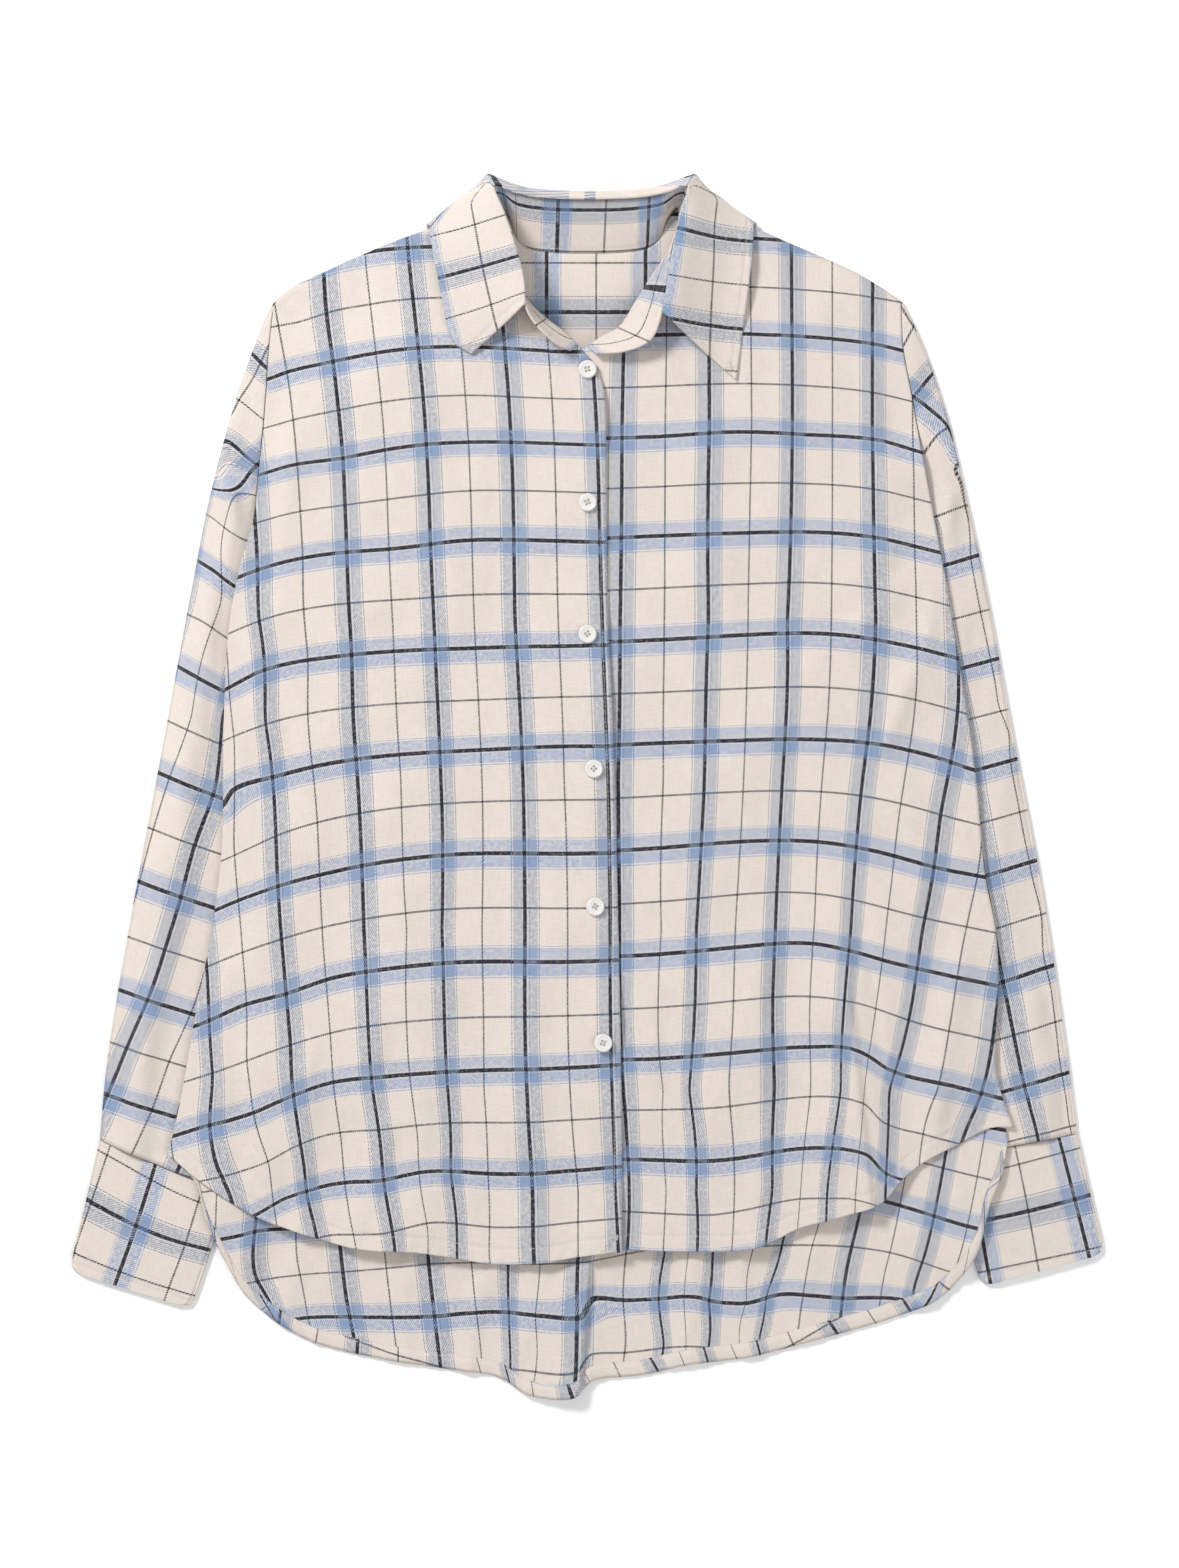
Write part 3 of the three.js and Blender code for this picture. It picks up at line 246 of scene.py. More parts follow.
# The check, as the photograph shows it. Each row is (line number, pixel x, y, x, y, ...): even numbers
# are the black lines in a band, odd ones the thin lines between, and broken ones places beside a line.
# "warp" lines run along the cloth.
CHECKS = {
    "front_right": {
        "warp": [
            (-10, 207, 969, 213, 1076, 210, 1124, 217, 1165, 231, 1197),
            (-9, 226, 640, 229, 686, 234, 736, 234, 843, 243, 954, 247, 1059, 255, 1118, 269, 1163),
            (-8, 255, 521, 259, 618, 266, 722, 276, 831, 282, 940, 291, 1046, 301, 1145, 307, 1195, 315, 1229),
            (-7, 274, 302, 286, 369, 297, 461, 303, 558, 308, 658, 341, 1140, 351, 1223),
            (-6, 323, 270, 333, 362, 343, 459, 347, 553, 352, 658, 364, 930, 373, 1090, 384, 1180, 395, 1250),
            (-5, 366, 270, 376, 354, 385, 451, 389, 548, 401, 780, 407, 930, 418, 1140, 428, 1232),
            (-4, 425, 420, 434, 620, 441, 780, 442, 930, 448, 1090, 451, 1174, 457, 1258),
            (-3, 467, 420, 482, 780, 484, 1090, 488, 1174, 489, 1255),
            (-2, 510, 420, 515, 620, 523, 780, 525, 930, 527, 1090, 532, 1180, 534, 1260),
            (-1, 553, 420, 564, 780, 570, 1090, 578, 1190, 578, 1252),
            (0, 596, 420, 602, 620, 608, 780, 610, 930, 612, 1090, 615, 1190),
        ],
        "weft": [
            (-2, 380, 250), (-1, 272, 326, 299, 321, 334, 310, 369, 304, 399, 300),
            (0, 269, 379, 287, 372, 333, 362, 376, 354, 470, 348, 560, 353),
            (2, 258, 476, 297, 465, 342, 459, 384, 451, 470, 443, 560, 445),
            (4, 236, 579, 256, 571, 302, 559, 346, 553, 400, 549, 470, 541, 560, 542),
            (6, 222, 692, 261, 672, 330, 658, 380, 653, 470, 649, 560, 647),
            (8, 224, 806, 232, 791, 272, 778, 330, 764, 380, 757, 470, 751, 560, 747),
            (10, 217, 910, 238, 901, 280, 886, 330, 873, 380, 863, 470, 854, 560, 854),
            (12, 196, 1026, 207, 1022, 245, 1005, 287, 994, 330, 979, 380, 970, 470, 962, 560, 962),
            (14, 175, 1136, 207, 1126, 253, 1113, 295, 1095, 330, 1083, 380, 1077, 470, 1071, 560, 1068),
            (15, 199, 1181, 222, 1176, 268, 1161, 293, 1147, 330, 1134, 380, 1129),
            (16, 256, 1215, 282, 1200, 305, 1192, 345, 1183, 384, 1180, 423, 1172, 489, 1174, 579, 1170),
            (17, 325, 1236, 382, 1233, 430, 1222, 489, 1227, 592, 1220),
        ],
    },
    "front_left": {
        "warp": [
            (0, 622, 420, 620, 620, 618, 780, 619, 930, 623, 1090, 629, 1190),
            (1, 665, 420, 664, 620, 663, 780, 661, 930, 663, 1090, 666, 1190),
            (2, 709, 420, 708, 620, 704, 780, 696, 930, 689, 1090, 696, 1190),
            (4, 792, 420, 787, 620, 782, 780, 775, 930, 774, 1090, 772, 1190),
            (6, 872, 420, 875, 620, 862, 780, 850, 930, 840, 1090, 827, 1190),
            (8, 956, 620, 958, 700, 951, 759, 940, 816, 922, 930, 889, 1090),
            (9, 977, 876, 966, 927, 956, 979, 948, 1031, 936, 1090),
            (10, 990, 1055, 980, 1096, 962, 1140),
        ],
        "weft": [
            (0, 815, 338, 885, 346, 900, 350),
            (2, 650, 438, 740, 433, 815, 436, 885, 442, 918, 452),
            (4, 650, 537, 740, 534, 815, 533, 885, 540, 935, 552),
            (6, 650, 641, 740, 636, 815, 634, 885, 642, 950, 657),
            (8, 650, 744, 740, 741, 815, 740, 885, 746, 940, 759, 972, 770),
            (10, 650, 849, 740, 842, 815, 842, 885, 854, 940, 869, 982, 877),
            (12, 650, 955, 740, 947, 815, 944, 885, 961, 940, 974, 996, 986),
            (14, 650, 1059, 740, 1052, 815, 1047, 850, 1048, 868, 1056, 885, 1068, 940, 1083, 994, 1097),
            (15, 842, 1097, 866, 1104, 881, 1121, 921, 1133),
            (16, 650, 1160, 740, 1158, 815, 1148, 850, 1150, 867, 1154, 884, 1173, 940, 1190),
            (17, 623, 1211, 717, 1214, 797, 1199, 827, 1198, 872, 1203),
        ],
    },
    "back": {
        "warp": [
            (-8, 256, 1216, 255, 1278, 268, 1301, 278, 1324), (-7, 295, 1235, 301, 1283, 307, 1319),
            (-6, 339, 1243, 342, 1272, 349, 1318, 353, 1338), (-5, 384, 1253, 388, 1289, 395, 1344),
            (-4, 427, 1252, 430, 1283, 434, 1318, 438, 1352), (-3, 471, 1263, 476, 1312, 481, 1358),
            (-2, 508, 1266, 509, 1318, 510, 1381), (-1, 540, 1263, 535, 1318, 533, 1387),
            (0, 578, 1255, 577, 1312, 575, 1381), (1, 626, 1252, 623, 1302, 624, 1358),
            (2, 665, 1252, 664, 1347), (4, 713, 1252, 709, 1302, 708, 1353), (5, 753, 1252, 747, 1301, 740, 1347),
            (6, 780, 1257, 766, 1299, 759, 1342), (7, 811, 1252, 803, 1299, 799, 1328),
            (8, 852, 1249, 843, 1299, 841, 1319), (9, 891, 1252, 881, 1301), (10, 926, 1252, 915, 1287),
            (-6, 340, 700), (0, 586, 700), (6, 840, 700), (-6, 335, 400), (0, 588, 400), (6, 842, 400),
        ],
        "weft": [
            (-2, 232, 1238, 256, 1232, 293, 1230, 850, 1196),
            (-1, 256, 1282, 342, 1273, 428, 1265, 592, 1262, 653, 1250, 798, 1246, 897, 1255, 946, 1271),
            (0, 308, 1319, 394, 1319, 434, 1318, 477, 1314, 509, 1314, 552, 1318, 583, 1319),
            (0, 592, 1299, 623, 1302, 665, 1300, 697, 1298, 712, 1303, 751, 1304, 780, 1296, 843, 1300, 902, 1301),
            (1, 510, 1370, 533, 1372, 579, 1371, 589, 1355, 623, 1354, 692, 1347),
            (-11, 300, 780, 880, 780), (-19, 300, 370, 880, 370),
        ],
    },
    "yoke": {
        "warp": [(-2, 547, 213, 646, 213), (-1, 547, 262, 646, 262), (0, 547, 311, 646, 311)],
        "weft": [(0, 547, 262, 547, 311), (1, 596, 262, 596, 311), (2, 646, 262, 646, 311)],
    },
    "sleeve_right": {
        "warp": [
            (-4, 251, 352, 264, 366), (-4.33, 264, 345), (-3.7, 250, 370),
            (-3, 238, 399, 263, 419), (-2.35, 235, 430), (-1.7, 228, 461), (-2, 227, 440, 257, 465),
            (-2, 203, 500, 193, 545, 181, 600, 168, 650, 148, 715), (0, 264, 560, 250, 628, 236, 670),
            (-1, 236, 494, 225, 523, 221, 543, 221, 601, 212, 628, 202, 658, 192, 715, 169, 778, 137, 886),
            (0, 222, 717, 215, 787, 194, 847, 180, 900, 149, 997, 113, 1080),
            (1, 207, 961, 194, 1004, 169, 1061, 153, 1107, 133, 1151),
        ],
        "weft": [
            (-3, 269, 343, 260, 362, 238, 399, 232, 412), (-2, 258, 465, 245, 481, 233, 491),
            (-2.72, 264, 385), (-3.2, 243, 374), (-2.25, 228, 470, 217, 482), (-2.3, 244, 450), (-1.6, 212, 499),
            (-1.66, 250, 498, 256, 486),
            (-1, 207, 514, 225, 528, 245, 540), (0, 197, 561, 215, 572, 233, 586),
            (1, 187, 614, 204, 622, 227, 638), (2, 177, 667, 224, 692), (4, 157, 773, 222, 799),
            (6, 137, 882, 212, 908), (8, 119, 991, 196, 1016), (10, 103, 1095, 179, 1119),
        ],
    },
    "sleeve_left": {
        "warp": [
            (3, 915, 325, 901, 350), (2, 933, 373, 913, 397), (1, 948, 428, 922, 455),
            (0.8, 952, 446, 926, 474), (0.6, 932, 496), (0.3, 936, 520), (1.05, 959, 467),
            (1, 961, 480, 965, 504, 971, 556, 980, 607, 997, 690, 1010, 735,
             1018, 800, 1030, 860, 1042, 915, 1050, 980, 1058, 1040, 1067, 1100),
            (1.25, 1007, 700, 1019, 750, 1038, 860, 1055, 960, 1070, 1060, 1078, 1120),
            (0, 929, 560, 940, 620, 953, 690, 967, 760, 984, 877, 994, 931, 1003, 981, 1013, 1031,
             1025, 1087, 1038, 1138),
        ],
        "weft": [
            (-3, 900, 303, 915, 326), (-2, 913, 397, 931, 410, 949, 426, 955, 440), (-1, 933, 517, 970, 504),
            (-2.3, 923, 384, 943, 401, 958, 424), (-1.7, 916, 419, 932, 433, 946, 450, 951, 462),
            (0, 943, 566, 980, 555), (1, 953, 619, 990, 609), (2, 961, 669, 1002, 658),
            (4, 975, 771, 1019, 759), (6, 984, 877, 1037, 861), (8, 996, 985, 1055, 966),
            (10, 1005, 1092, 1068, 1074), (11, 1016, 1140, 1075, 1126),
        ],
    },
    "collar_right": {
        "warp": [
            (-2, 433, 196, 482, 176), (-1, 433, 236, 503, 220), (0, 440, 279, 514, 262),
            (1, 449, 319, 525, 297), (2, 458, 364, 540, 334),
        ],
        "weft": [
            (0, 504, 182, 531, 246, 548, 300), (1, 468, 192, 483, 270, 497, 330), (2, 413, 205, 431, 285, 447, 345),
        ],
    },
    "collar_left": {
        "warp": [
            (-1, 690, 184, 718, 195), (0, 678, 232, 752, 242), (1, 669, 279, 745, 286),
            (2, 668, 322, 740, 330), (3, 702, 370, 735, 372),
        ],
        "weft": [
            (0, 674, 232, 661, 300, 655, 345), (1, 718, 195, 714, 230, 712, 290, 709, 370),
            (2, 771, 200, 768, 240, 766, 290, 764, 370),
        ],
    },
    "cuff_right": {
        "warp": [(-1, 100, 1152, 197, 1202), (0, 78, 1196, 170, 1240, 207, 1250), (1, 70, 1252, 192, 1296)],
        "weft": [(0, 155, 1166, 113, 1290), (1, 197, 1204, 183, 1249, 170, 1283), (-1, 108, 1150, 70, 1260)],
    },
    "cuff_left": {
        "warp": [(-1, 990, 1172, 1090, 1146), (0, 980, 1222, 1104, 1192), (1, 985, 1272, 1108, 1246)],
        "weft": [(0, 1060, 1138, 1091, 1260), (-1, 1016, 1150, 1040, 1275), (1, 1100, 1120, 1136, 1240)],
    },
}

# The same for the back of the collar and for the stand, by station round the neck.
COLLAR_WARP_STATIONS = [
    (3, 2.2), (4.4, 1), (5.4, 0), (7, -1), (8.4, -2), (17.4, -2.6), (18.4, -1.2), (19.5, 0), (20.8, 1),
    (22.2, 2), (23.4, 3),
]
COLLAR_WEFT_START = [(3, 1.1), (10, 1.08), (14, 1.2), (17, 1.7), (23, 1.8)]
STAND_WEFT_STATIONS = [
    (0, -5.85), (1.9, -5), (3.7, -4), (7.4, -3), (8.9, -2), (10, -1), (12.1, 0), (13.5, 1), (15.1, 2),
    (18.3, 3), (22.3, 4), (24.1, 5), (26, 5.85),
]
STAND_WARP_BELOW_HEAD = [(0, 38), (4, 38), (6, 22), (8, 6.5), (18.3, 6.5), (19.1, 38), (26, 38)]

# The yarn order across one repeat, from the middle of one thin line to the middle of the next.
WARP_SETT = [
    (0.6, "thin"), (17.75, "cream"), (0.7, "edge_grey"), (0.7, "cream"), (6.3, "grey"), (2.2, "black"),
    (1.4, "pale_grey"), (0.7, "edge_grey"), (4.9, "grey"), (0.7, "cream"), (0.7, "edge_grey"),
    (17.0, "cream"), (0.6, "thin"),
]
WEFT_SETT = [
    (0.6, "thin"), (22.85, "cream"), (0.7, "blue"), (0.7, "cream"), (6.4, "soft_blue"), (1.1, "pale_grey"),
    (2.6, "black"), (0.8, "pale_green"), (6.7, "blue"), (0.8, "cream"), (0.7, "blue"),
    (23.45, "cream"), (0.6, "thin"),
]

# How strongly a yarn covers the one under it, where it is the darker; the others' cover, and a number
# of threads, a multiple of four, that keeps the thread count above 0.
COVER = {"black": 0.85, "thin": 0.3}
PLAIN_COVER = 0.3
PAST_ZERO = 40000.0


def ease(t):
    """0 up to 1 with level ends: 3t² - 2t³ of t held between 0 and 1."""
    t = np.clip(t, 0.0, 1.0)
    return t * t * (3 - 2 * t)


def mix(a, b, t):
    """a + (b - a) t."""
    return a + (b - a) * t


def spline(points, power=0.25, per=24):
    """Dense points on a Catmull-Rom line: Hermite cubics whose end slopes come from the neighbours,
    timed by the distance between points to twice the power."""
    p = np.asarray(points, float)
    p = np.vstack([2 * p[:1] - p[1:2], p, 2 * p[-1:] - p[-2:-1]])
    a, b, c, d = p[:-3], p[1:-2], p[2:-1], p[3:]
    before, during, after = (
        np.maximum(((q - r) ** 2).sum(-1, keepdims=True), 1e-9) ** power for q, r in ((b, a), (c, b), (d, c))
    )
    first = ((b - a) / before - (c - a) / (before + during) + (c - b) / during) * during
    last = ((c - b) / during - (d - b) / (during + after) + (d - c) / after) * during
    t = (np.arange(per) / per).reshape(-1, *[1] * p.ndim)
    q = b + first * t + (3 * (c - b) - 2 * first - last) * t**2 + (2 * (b - c) + first + last) * t**3
    return np.vstack([q.swapaxes(0, 1).reshape(-1, *p.shape[1:]), p[-2:-1]])


def walk(points, power=0.25):
    """A line walked by length: function of shares 0 to 1 that returns points on the spline."""
    dense = spline(points, power)
    length = np.concatenate([[0], np.cumsum(np.linalg.norm(np.diff(dense, axis=0), axis=1))])
    return lambda t: np.stack([np.interp(np.asarray(t) * length[-1], length, k) for k in dense.T], -1)


def chain(lines, shares):
    """Several walked lines as one, each over its share of 0 to 1."""
    ends = np.concatenate([[0], np.cumsum(shares)]) / sum(shares)

    def at(t):
        t = np.asarray(t, float)
        which = np.clip(np.searchsorted(ends, t, side="left") - 1, 0, len(lines) - 1)
        places = [line((t - a) / (b - a)) for line, a, b in zip(lines, ends, ends[1:])]
        return np.choose(which[..., None], places)

    return at


def patch(top, bottom, a, b, s, t):
    """Grid spanned by four walked lines: across blend + down blend - corner blend (Coons)."""
    (a0, a1), (b0, b1) = top([0, 1]), bottom([0, 1])
    across, s, t = np.asarray(s), np.asarray(s)[None, :, None], np.asarray(t, float)
    sides = a(t)[:, None] * (1 - s) + b(t)[:, None] * s
    t = t[:, None, None]
    corners = (1 - s) * (1 - t) * a0 + s * (1 - t) * a1 + (1 - s) * t * b0 + s * t * b1
    return sides + top(across)[None] * (1 - t) + bottom(across)[None] * t - corners


def folds(table, x, y):
    """Sum of folds: height × exp(-(distance off the line / half width)²), fading at the two ends."""
    height = np.zeros_like(x)
    for x0, y0, x1, y1, high, wide in table:
        dx, dy = x1 - x0, y1 - y0
        length = math.hypot(dx, dy)
        along = ((x - x0) * dx + (y - y0) * dy) / length**2
        across = ((x - x0) * dy - (y - y0) * dx) / length
        reach = ease(along / 0.3 + 0.5) * ease((1.3 - along) / 0.3)
        height += high * reach * np.exp(-((across / wide) ** 2))
    return height


def rumple(x, y, size, seed):
    """Gentle unevenness: a sum of seeded sine waves of about that size (mm), of unit height."""
    rng = np.random.RandomState(seed)
    total = np.zeros_like(x)
    for _ in range(9):
        angle, phase, scale = rng.uniform(0, np.pi), rng.uniform(0, 2 * np.pi), rng.uniform(0.7, 1.5)
        total += np.sin((x * np.cos(angle) + y * np.sin(angle)) * 2 * np.pi / (size * scale) + phase)
    return total / 3


def climb(column, y):
    """A column of the CLIMB table at y, straight from row to row."""
    rows = np.array(CLIMB[::-1], float)
    return np.interp(y, rows[:, 0], rows[:, column])


def back_under(x, y):
    """Height of the back's and yoke's underside: over sleeve + over collar + folds of the tail."""
    over = np.maximum(ease((climb(1, y) - x) / CLIMB_WIDTH), ease((x - climb(2, y)) / CLIMB_WIDTH))
    collar = YOKE_OVER_COLLAR * ease((y - 296) / 26) * ease((151 - np.abs(x)) / 45)
    tail = np.maximum(0, folds(TAIL_FOLDS, x, y)) + tail_pleat(x, y)
    return BACK_OVER_SLEEVE * climb(3, y) * over + collar + tail


def tail_pleat(x, y):
    """The fold in the middle of the tail: its left part rises softly and drops at one sharp edge."""
    off = np.interp(-y, [300, 389], [3.8, -3.8]) - x
    left = 7.5 * np.exp(-((np.maximum(off, 0) / 26) ** 2))
    right = 2.6 * np.exp(np.minimum(off, 0) / 11)
    return mix(right, left, ease(off / 2.2 + 0.5)) * ease((-290 - y) / 24)


def side_x(points, y):
    """x of a side's outline at y."""
    rows = np.array(points[::-1], float)
    return np.interp(y, rows[:, 1], rows[:, 0])


def front_under(x, y):
    """Height of the fronts' underside: the back's top + seam gap + armhole gap + chest rise and folds."""
    side = np.where(x < 0, x - side_x(RIGHT_SIDE, y), side_x(LEFT_SIDE, y) - x)
    right, left = np.array(RIGHT_SHOULDER, float), np.array(LEFT_SHOULDER[::-1], float)
    line = np.where(
        x < 0, np.interp(x, right[:, 0], right[:, 1], right=383), np.interp(x, left[:, 0], left[:, 1], left=383)
    )
    base = back_under(x, y) + CLOTH
    gap = ARMHOLE_OPEN * ease((308 - y) / 40) * ease((y - 176) / 40) * ease(1 - side / 75)
    inward = ease(side / 75) * ease((line - y) / 80)
    rise = mix(FRONT_RISE, FRONT_RISE_AT_HEM, ease((-170 - y) / 110))
    hollow = np.maximum(1.2, rise - base) + folds(FRONT_FOLDS, x, y) * ease(side / 26)
    return base + SEAM_GAP * (1 + ease(side / 26)) + gap + inward * np.maximum(LAP_GAP, hollow)


def front_lap(x):
    """How much higher the right front lies over the left one: an easing ramp beside the closing."""
    return (CLOTH + LAP_GAP) * ease((x + 62) / 38)


def front_creases(x, y):
    """The finer creases of both fronts, gentler beside the seams, with a soft floor: a ln(1 + e^(h/a))
    in place of h, so that no trough dips under the back."""
    side = np.where(x < 0, x - side_x(RIGHT_SIDE, y), side_x(LEFT_SIDE, y) - x)
    hanging = 0.55 * rumple(x * 1.9, y * 0.42, 60, 3)
    fine = 1.9 * folds(FRONT_CREASES, x, y) + 0.7 * rumple(x, y, 52, 5) + 0.16 * rumple(x, y, 19, 8) + hanging
    fine = bpy.context.scene.shirt.creases * fine * ease(side / 22) * np.where(x > 24, 1.25, 1.1)
    return 0.3 + 0.5 * np.logaddexp(fine / 0.5, -2.2)


def to_mm(pixels):
    """Row-frame millimetres of photograph pixels."""
    return (np.asarray(pixels, float) - PHOTO_MIDDLE) * [PHOTO_MM_PER_PIXEL, -PHOTO_MM_PER_PIXEL]


def numbering(rows):
    """A smooth line number over the cloth: a plane plus thin-plate bumps r² log r² through the marks."""
    at, value = [], []
    for row in rows:
        places = np.array(row[1:], float).reshape(-1, 2)
        at.append(to_mm(places) / 100)
        value += [row[0]] * len(places)
    at = np.vstack(at)
    value = np.array(value, float)

    def bump(r2):
        return r2 * np.log(r2 + 1e-9)

    n = len(at)
    system = np.zeros((n + 3, n + 3))
    system[:n, :n] = bump(((at[:, None] - at[None]) ** 2).sum(-1)) + 0.004 * np.eye(n)
    system[:n, n], system[:n, n + 1 :] = 1, at
    system[n:, :n] = system[:n, n:].T
    weights = np.linalg.solve(system, np.concatenate([value, np.zeros(3)]))

    def number(x, y):
        flat = np.stack([x.ravel(), y.ravel()], -1) / 100
        out = weights[n] + flat @ weights[n + 1 :]
        for centre, weight in zip(at, weights[:n]):
            out += weight * bump(((flat - centre) ** 2).sum(-1))
        return out.reshape(x.shape)

    return number


def cloth_coordinates(name, grid):
    """Cloth coordinates in metres at the grid's points: line number × half a repeat, each way."""
    shirt = bpy.context.scene.shirt
    warp = numbering(CHECKS[name]["warp"])(grid[..., 0], grid[..., 1]) * shirt.warp_repeat / 2
    weft = numbering(CHECKS[name]["weft"])(grid[..., 0], grid[..., 1]) * shirt.weft_repeat / 2
    return np.stack([warp, weft], -1)


def run(grid, axis=0):
    """Length walked from the first row (or column, along axis 1) to each point of a grid."""
    steps = np.linalg.norm(np.diff(grid, axis=axis), axis=-1)
    return np.concatenate([np.zeros_like(np.take(steps, [0], axis)), np.cumsum(steps, axis=axis)], axis)


def columns_at(distance, values, steps):
    """Each column's values at distances along it, straight from row to row."""
    after = np.clip((distance[None] <= steps[:, None]).sum(1), 1, len(distance) - 1)
    near, far = (np.take_along_axis(distance, k, 0) for k in (after - 1, after))
    before, beyond = (np.take_along_axis(values, k[..., None], 0) for k in (after - 1, after))
    return mix(before, beyond, ((steps - near) / np.maximum(far - near, 1e-12))[..., None])


def edge_distances(grid, row_at=None, column_at=None):
    """(length along, length off) in millimetres from the last row or column, whichever is nearer,
    less the distance at which that edge is sewn."""
    along, off = np.zeros(grid.shape[:2]), np.full(grid.shape[:2], UNSEWN)
    if row_at is not None:
        along, off = run(grid, 1), run(grid[::-1])[::-1] - row_at
    if column_at is not None:
        beyond = run(grid[:, ::-1], 1)[:, ::-1] - column_at
        nearer = np.abs(beyond) < np.abs(off)
        along, off = np.where(nearer, run(grid), along), np.where(nearer, beyond, off)
    return np.stack([along, off], -1)


def surface(name, grid, cloth, sewing=None, around=False, thickness=None, turn=1, material="flannel_twill"):
    """An object from a grid of points (mm): quads between neighbours, closed across the columns if
    `around`, the columns taken backwards if `turn` is -1, so that the faces look outward. Cloth
    coordinates and sewing distances become UV maps; Solidify gives the wall."""
    if sewing is None:
        sewing = edge_distances(grid)
    grid, cloth, sewing = grid[:, ::turn], cloth[:, ::turn], sewing[:, ::turn]
    rows, cols = grid.shape[:2]
    i, j = np.meshgrid(np.arange(rows - 1), np.arange(cols if around else cols - 1), indexing="ij")
    k = (j + 1) % cols
    quads = np.stack([i * cols + j, (i + 1) * cols + j, (i + 1) * cols + k, i * cols + k], -1).reshape(-1, 4)
    mesh = bpy.data.meshes.new(name)
    mesh.vertices.add(rows * cols)
    mesh.vertices.foreach_set("co", (grid * MM).astype(np.float32).ravel())
    mesh.loops.add(quads.size)
    mesh.loops.foreach_set("vertex_index", quads.ravel().astype(np.int32))
    mesh.polygons.add(len(quads))
    mesh.polygons.foreach_set("loop_start", np.arange(0, quads.size, 4, dtype=np.int32))
    mesh.polygons.foreach_set("use_smooth", np.ones(len(quads), bool))
    for title, values in (("cloth", cloth), ("sewing", sewing * MM)):
        layer = mesh.uv_layers.new(name=title)
        layer.uv.foreach_set("vector", values.reshape(-1, 2)[quads.ravel()].astype(np.float32).ravel())
    mesh.update(calc_edges=True)
    mesh.validate()
    mesh.materials.append(bpy.data.materials[material])
    piece = bpy.data.objects.new(name, mesh)
    bpy.context.collection.objects.link(piece)
    if thickness:
        wall = piece.modifiers.new("wall", "SOLIDIFY")
        wall.thickness, wall.offset = thickness * MM, -1
    return piece


def declare(piece, node):
    """The piece rides on the root body and stands for its node, whose solid, if given, is hidden."""
    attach(piece, "root")
    if node:
        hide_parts(node)
    return piece


def panel_grid(top, bottom, a, b, s, t, height):
    """Panel points: the Coons patch of its outline, at the height given for (x, y)."""
    flat = patch(top, bottom, a, b, s, t)
    return np.dstack([flat, height(flat[..., 0], flat[..., 1])])


def crowded(count, power):
    """Shares 0 to 1, closer together towards 1."""
    return 1 - (1 - np.linspace(0, 1, count)) ** power


def hem_pucker(grid, near, size):
    """Small uneven puckers in the last rows: height × sine along the edge × exp(-(distance / near)²)."""
    along, off = np.moveaxis(edge_distances(grid, row_at=0), -1, 0)
    ripple = np.sin(along * 2 * np.pi / PUCKER_LENGTH + 1.7 * rumple(grid[..., 0], grid[..., 1], 60, 3))
    grid[..., 2] += size * ripple * np.exp(-((off / near) ** 2))
    return grid


def right_front_height(x, y):
    """Top of the right front."""
    return front_under(x, y) + front_lap(x) + CLOTH + front_creases(x, y)


def left_front_height(x, y):
    """Top of the left front; smooth where the right one lies on it."""
    open_part = ease((x - 20) / 26)
    return front_under(x, y) + CLOTH + front_creases(x, y) * open_part - 0.3 * (1 - open_part)


def back_height(x, y):
    """Top of the back: its finer creases show on the tail, which nothing covers."""
    tail = ease((-232 - y) / 40)
    fine = 2.6 * folds(BACK_CREASES, x, y) + 0.8 * rumple(x * 1.5, y * 0.7, 44, 11)
    return back_under(x, y) + CLOTH + tail * np.maximum(-0.1, fine * bpy.context.scene.shirt.creases)


def yoke_height(x, y):
    """Top of the yoke, with the creases that show inside the neck."""
    inside = ease((70 - np.abs(x)) / 20) * ease((y - 270) / 20)
    return back_under(x, y) + CLOTH + inside * np.maximum(-0.1, folds(YOKE_CREASES, x, y))


def linear(colour):
    """Linear RGBA from an 8-bit screen colour."""
    c = np.array(colour, float) / 255
    return (*np.where(c <= 0.04045, c / 12.92, ((c + 0.055) / 1.055) ** 2.4), 1.0)


def length_setting(name, description, default, least):
    """A length in metres that a user can change."""
    return bpy.props.FloatProperty(name=name, description=description, default=default, min=least, unit="LENGTH")


def colour_setting(name, description, screen):
    """A colour that a user can change, given as an 8-bit screen colour."""
    return bpy.props.FloatVectorProperty(
        name=name, description=description, default=linear(screen), size=4, min=0.0, max=1.0, subtype="COLOR",
    )


